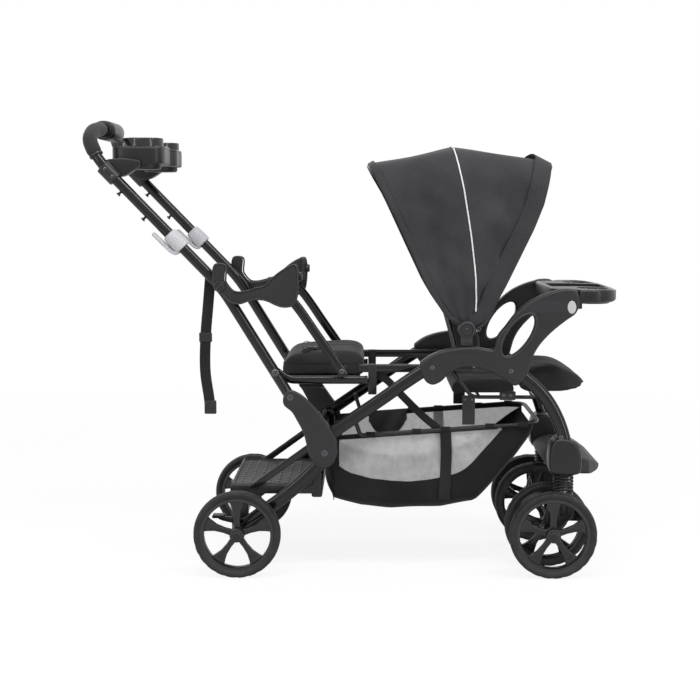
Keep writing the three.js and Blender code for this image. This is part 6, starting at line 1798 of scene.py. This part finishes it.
def add_calf_rest():
    """The calf rest: a pad with fanned folds, piping in front, and the cloth between it and the seat."""
    rows = cushion_rows(pad_outline(CALF_SHARES, CALF_CORNER, 163, 69, 5), CALF_CORNER[1], 736, 144)
    for row in rows:
        for number, p in enumerate(row):
            away = max(0.0, (p.x - CALF_CORNER[0]) / 163)
            fan = math.atan2(p.z - 470, p.x - 640)
            fold = math.sin(fan * 26 + p.y * 0.02) * 2.4 * (1 - away) * min(1.0, away * 5)
            fold += math.sin(p.x * 0.11 + p.y * 0.045) * 1.2
            up = Vector((0, 0, 1 if p.z > 452 else -1))
            side = Vector((0, 1 if p.y > 0 else -1, 0)) * max(0.0, abs(p.y) / 144 - 0.9) * 10
            row[number] = p + (up * 0.7 + side) * fold * (0.0 if p.z < 423 else 1.0)
    pad("calf_rest_cloth", rows, "frame", "calf_rest", calf_held, 7, 3.4)
    edge = [max(row, key=lambda p: p.x) + Vector((1.2, 0, 0)) for row in rows[6:-6]]
    tube("calf_rest_piping", edge, 3.2, 3.2, "binding", "frame", sides=10)
    link = curved([(646, 0, 445), (652, 0, 452), (659, 0, 456)], 14)
    band("seat_to_calf_cloth", link, 270, 3, "pad", "frame", ACROSS)


# BACKREST AND HARNESS
BACK_SHARES = [
    (0, 0), (0, 0.3), (0.08, 0.8), (0.16, 1), (0.24, 0.95), (0.34, 0.55),
    (0.45, 0.42), (0.7, 0.4), (0.95, 0.38), (1, 0.2), (0.98, 0), (0.5, 0),
]
BACK_LENGTH, BACK_THICK, BACK_HALF, BACK_LEAN = 415, 60, 148, math.radians(14)
BACK_FOOT = Vector((531, 0, 461))
BACK_SEAMS, BACK_SIDE_SEAMS = (120, 196, 272, 348), (96,)


def on_back(along, out, y):
    """A point of the backrest: a length up from its foot, a height forward of its rear face, and sideways."""
    turn = Matrix.Rotation(-math.pi / 2 - BACK_LEAN, 3, "Y") @ Matrix.Rotation(math.pi, 3, "X")
    turned_point = turn @ Vector((along, -y, out))
    return Vector((BACK_FOOT.x + turned_point.x, y, BACK_FOOT.z + turned_point.z))


def back_held(p):
    rel = Vector((p.x, 0, p.z)) - BACK_FOOT
    along = rel.dot(Vector((-math.sin(BACK_LEAN), 0, math.cos(BACK_LEAN))))
    lift = rel.dot(Vector((math.cos(BACK_LEAN), 0, math.sin(BACK_LEAN))))
    quilted = near_seam(along, BACK_SEAMS, 4) or near_seam(abs(p.y), BACK_SIDE_SEAMS, 4)
    return 1.0 if lift < 6 or along < 26 or quilted else 0.0


def add_backrest():
    """The seat's back: a quilted pad on its rod, with a plain cloth behind."""
    outline = pad_outline(BACK_SHARES, (0, 0), BACK_LENGTH, BACK_THICK - 2, 3, 96)
    flat_rows = cushion_rows(outline, 0, BACK_LENGTH / 2, BACK_HALF - 3, rows=48)
    rows = []
    for row in flat_rows:
        line = []
        for p in row:
            lift = p.z
            if lift > 9:
                lift -= 3.6 * max(groove(p.x, BACK_SEAMS, 7), groove(abs(p.y), BACK_SIDE_SEAMS, 7))
            line.append(on_back(p.x, lift, p.y))
        rows.append(line)
    pad("backrest_pad", rows, "backrest", "backrest", back_held, 6, 3.0)
    ends = [on_back(14.5, 7.2, y) for y in (-165.7, 165.7)]
    tube("backrest_rod", ends, 8, 8, "steel", "backrest", sides=18)
    rear = [[on_back(along, -1.5 + 1.2 * math.sin(along / 40), y) for y in range(-138, 139, 12)]
            for along in range(40, 401, 12)]
    obj = cloth_sheet("backrest_rear_cloth", rear, 2.5, "fabric")
    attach(obj, "backrest")


def face(along):
    """How far forward the backrest's face is at a length up from its foot."""
    shares = BACK_SHARES[1:9]
    here = along / BACK_LENGTH
    for (a, low), (b, high) in zip(shares, shares[1:]):
        if a <= here <= b:
            return (low + (here - a) / (b - a) * (high - low)) * BACK_THICK
    return 0.4 * BACK_THICK


# Each strap's points: the length up from the backrest's foot, the height over its face and the place sideways
SHOULDER = [(300, 5.5, 34), (262, 5.5, 36), (222, 5.5, 33), (182, 5.5, 27), (146, 5.5, 19), (116, 5.5, 12)]
SHOULDER_COVER = [(290, 7.5, 34.5), (262, 7.5, 36), (222, 7.5, 33), (190, 7.5, 28.5)]
LAP = [(96, -2, 96), (97, 4, 74), (100, 6, 44), (104, 8, 14)]
CROTCH = [(96, 7, 0), (72, 4, 0), (52, 1, 0), (34, -3, 0)]
SLIDER_HALF, BUCKLE_HALF = Vector((4, 13, 9)), Vector((7, 24, 19))


def over_face(points, sign=1):
    return [on_back(along, face(along) + out, sign * y) for along, out, y in points]


def cover_section(share):
    """A shoulder cover's section, thinner towards both ends."""
    off = abs(share - 0.5)
    thin = (off * 2) ** 4
    return rounded(42 - 10 * off ** 2, 9 - 5 * thin, 2.4 - thin)


def add_harness():
    """Five-point harness: shoulder straps with soft covers, lap straps, a crotch strap and a buckle."""
    for side, sign in SIDES.items():
        run = [on_back(306, face(300) - 4, sign * 34)] + over_face(SHOULDER, sign)
        band(f"harness_shoulder_{side}", curved(run, 40), 22, 2, "webbing", "backrest", ACROSS)
        cover = skin(f"harness_cover_{side}", curved(over_face(SHOULDER_COVER, sign), 30), cover_section,
                     "pad", "backrest", ACROSS, slot="fabric", sharp=60)
        lap = curved(over_face(LAP, sign), 24)
        band(f"harness_lap_{side}", lap, 2, 20, "webbing", "backrest", (0, 0.3 * sign, 1))
        slider = on_back(150, face(150) + 4, sign * 20)
        block(f"harness_slider_{side}", slider - SLIDER_HALF, slider + SLIDER_HALF, 2, "black", "backrest")
    buckle = on_back(104, face(104) + 8, 0)
    block("harness_buckle", buckle - BUCKLE_HALF, buckle + BUCKLE_HALF, 5, "black", "backrest", steps=5)
    button = [(-2, 9), (1.6, 9), (2.8, 7.6), (2.4, 0)]
    turned("harness_button", button, buckle + Vector((7, 0, 0)), AHEAD, "grey", "backrest", 36)
    band("harness_crotch", curved(over_face(CROTCH), 24), 30, 2.4, "webbing", "backrest", ACROSS)


# BASKET
BASKET_BACK, BASKET_FRONT, BASKET_HALF, BASKET_CORNER = 224, 700, 177, 56
BASKET_LOW_LINE = [(224, 167), (240, 162), (286, 150), (357, 143.4), (476, 148), (557, 162), (572, 176),
                   (590, 196), (619, 229), (655, 272), (686, 313), (700, 340)]
DIAGONAL = [(314, -170, 472), (346, -168, 454), (380, -171, 420), (412, -174, 388), (440, -176, 362),
            (470, -178, 338)]
STRAP_X = 486
NET_LOW_LINE = [(236, 246), (262, 233), (314, 219), (360, 214), (402, 213), (445, 217), (489, 225),
                (540, 234), (700, 262)]


def basket_rows():
    """Cross-sections of the tub from back to front: down one side, round the floor and up the other."""
    rows = []
    steps = 46
    for number in range(steps + 1):
        share = number / steps
        x = BASKET_BACK + (BASKET_FRONT - 2 - BASKET_BACK) * (1 - (1 - share) ** 1.25)
        low = line_at(BASKET_LOW_LINE, x)
        top = basket_wire_z(x) + 1
        half = BASKET_HALF
        near = BASKET_FRONT - x
        if near < BASKET_CORNER:
            half -= BASKET_CORNER - math.sqrt(max(BASKET_CORNER ** 2 - (BASKET_CORNER - near) ** 2, 0.0))
        height = max(top - low, 3)
        corner = min(34.0, height * 0.6, half * 0.5)
        near_side = [(-half, top + (low + corner - top) * step / 14) for step in range(15)]
        for step in range(1, 8):
            turn = step / 8 * math.pi / 2
            near_side.append((-half + corner * (1 - math.cos(turn)), low + corner * (1 - math.sin(turn))))
        flat = half - corner
        floor = [(-flat + 2 * flat * step / 14, low) for step in range(15)]
        far_side = [(-y, z) for y, z in near_side[::-1]]
        row = []
        for y, z in near_side + floor + far_side:
            depth = (top - z) / max(top - low, 1)
            belly = math.sin(min(depth, 1) * math.pi) * min(1.0, height / 120)
            ends = math.sin(share * math.pi) ** 0.5 if 0 < share < 1 else 0.0
            side = abs(y) / max(half, 1)
            wave = math.sin(x * 0.07 + z * 0.055) * 1.7 + math.sin(x * 0.031 - z * 0.09 + 1.3) * 1.9
            wave += math.sin(x * 0.15 + z * 0.02 + 0.4) * 0.8
            out = (3.4 * belly + wave * belly) * ends if side > 0.9 else 0.0
            ripple = math.sin(x * 0.05) * math.sin(y * 0.045) * 1.6
            drop = (3.2 * (1 - side) + ripple) * ends if side < 0.9 else 0.0
            row.append(Vector((x, y + math.copysign(out, y), z - min(drop, 5))))
        rows.append(row)
    return rows


def soft_max(values, blend=9.0):
    """The largest of a few values, rounded where two are nearly equal."""
    top = max(values)
    return top + blend * math.log(sum(math.exp((value - top) / blend) for value in values))


def dark_cloth(point):
    """Above nought where a layout point of the tub is dark cloth, and below nought where it is net."""
    if point.y < 0:
        front = (point.x - 529 - (point.z - 235) * 0.88) * 0.75
    else:
        front = (point.x - 528 - (point.z - 209) * 1.22) * 0.64
    low = soft_max((front, line_at(NET_LOW_LINE, point.x) - point.z))
    return max(low, 236 - point.x, point.z - basket_wire_z(point.x) + 8)


def cut_where(mesh, test):
    """Cuts a mesh along the line on which a test of its points is nought."""
    work = bmesh.new()
    work.from_mesh(mesh)
    cuts = set()
    for edge in list(work.edges):
        ends = [test(layout(vert.co)) for vert in edge.verts]
        if ends[0] * ends[1] < 0:
            cuts.add(bmesh.utils.edge_split(edge, edge.verts[0], ends[0] / (ends[0] - ends[1]))[1])
    for face in list(work.faces):
        pair = [vert for vert in face.verts if vert in cuts]
        if len(pair) == 2:
            bmesh.utils.face_split(face, *pair)
    work.to_mesh(mesh)
    work.free()


def add_basket():
    """The shopping basket: net sides with dark cloth below, behind and in front."""
    rows = basket_rows()
    tub = cloth_sheet("basket_cloth", rows, 1.4, "mesh")
    cut_where(tub.data, dark_cloth)
    tub.data.materials.append(PAINTS["fabric"])
    for face in tub.data.polygons:
        face.material_index = 1 if dark_cloth(layout(face.center)) > 0 else 0
    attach(tub, "frame")
    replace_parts(tub, "basket_tub")
    for side, sign in SIDES.items():
        column = 0 if sign < 0 else -1
        edge = [row[column] + Vector((0, sign * 1.2, 0.6)) for row in rows]
        tube(f"basket_edge_{side}", edge, 4, 4, "binding", "frame", sides=10)


def add_basket_straps():
    """At each side, five loops round the rail and an upright strap, and the diagonal strap on the right."""
    turns = [step / 18 * 2 * math.pi for step in range(19)]
    top = basket_wire_z(STRAP_X)
    for side, sign in SIDES.items():
        for number, x in enumerate((310, 418, STRAP_X, 590, 668)):
            y, z = sign * BASKET_RAIL_Y, basket_wire_z(x)
            wrap = [(x, y + 6.2 * math.sin(turn), z + 6.2 * math.cos(turn)) for turn in turns]
            band(f"basket_loop_{side}_{number}", wrap, 22, 1.8, "binding", "frame", AHEAD)
        strap = []
        for step in range(15):
            z = top - 2 - step * (top - 172) / 14
            wave = math.sin(STRAP_X * 0.07 + z * 0.055) * 1.2
            strap.append((STRAP_X + 2 * math.sin(step / 3), sign * (183.4 + wave), z))
        band(f"basket_strap_{side}", strap, 26, 2, "webbing", "frame", AHEAD)
    band("basket_diagonal_strap", curved(DIAGONAL, 30), 18, 2.4, "webbing", "frame", (0.7, 0, 0.7))


def add_basket_pocket():
    """The pale pocket flap that hangs inside the left side."""
    rows = []
    for number in range(25):
        x = 306 + number * 4.1
        deep = 66 * math.sin(math.pi * min(max(number / 24, 0.03), 0.97)) ** 0.4
        rows.append([
            Vector((x, 172.4 + 2 * math.sin(number * 0.5 + step * 0.35),
                    basket_wire_z(x) + 3 - step / 12 * deep))
            for step in range(13)
        ])
    flap = cloth_sheet("basket_pocket", rows, 1.6, "lining")
    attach(flap, "frame")


def add_basket_back():
    """The loose cloth behind the basket, which the toe board pushes in when the frame folds."""
    low, top = 167, 306
    shares = [(1, 0), (0.99, 0.05), (0.4, 0.25), (0.1, 0.5), (0.4, 0.75), (0.99, 0.97), (1, 1)]
    run = curved([(221.7 - 20 + x * 20, 0, low + z * (top - low)) for x, z in shares], 26)
    rows = []
    across = range(-176, 177, 11)
    for p in run:
        wave = 1.2 if 180 < p.z < 296 else 0
        rows.append([Vector((p.x + wave * math.sin(y * 0.05 + p.z * 0.06), y, p.z)) for y in across])
    obj = cloth_sheet("basket_back_cloth", rows, 2, "fabric")
    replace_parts(obj, "basket_back")
    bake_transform(obj)


# TETHER
def add_tether():
    """The tether: webbing from the handle tube with a slider and a buckle at its foot."""
    shares = [(0, 0), (0.4, 0.2), (0.9, 0.45), (1, 0.7), (0.4, 0.9), (0.2, 1)]
    run = curved([(-62 - back * 14, -200.7, 700 - low * 320) for back, low in shares], 40)
    band("tether_webbing", run, 25, 2.6, "webbing", "handle", AHEAD, slot="webbing", parts=["tether_strap"])
    slide = run[16]
    foot = run[-1]
    fold = run[0]
    pieces = [
        ("slider", slide, (-15, -3.4, -11), (15, 2.6, 11), 2, "black"),
        ("buckle", foot, (-14, -4.4, -4), (14, 3.4, 28), 3, "black"),
        ("stitch", fold, (-12, -2.2, -26), (12, 1.8, 0), 0.8, "binding"),
    ]
    for number, up in enumerate((6, 12, 18)):
        pieces.append((f"buckle_rib_{number}", foot, (-10, -5.4, up), (10, -4, up + 2), 0.6, "gloss"))
    for name, at, low, high, edge, paint in pieces:
        block(f"tether_{name}", at + Vector(low), at + Vector(high), edge, paint, "handle")


add_main_tubes()
add_armrests()
add_tray_buttons()
add_rear_covers()
add_front_housings()
add_footrest()
add_seat_frame()
add_basket_rail()
add_handle()
add_grips()
add_handle_hub()
add_triggers()
add_parent_tray()
add_cradle_brackets()
add_support_tubes()
add_bench_frame()
add_rear_legs()
add_rear_axle()
add_platform()
add_platform_sides()
add_pedals()
add_rear_wheels()
add_front_wheels()
add_casters()
add_child_tray()
add_bows()
add_canopy_hubs()
add_canopy()
add_bench_cushion()
add_seat_pad()
add_calf_rest()
add_backrest()
add_harness()
add_basket()
add_basket_straps()
add_basket_pocket()
add_basket_back()
add_tether()
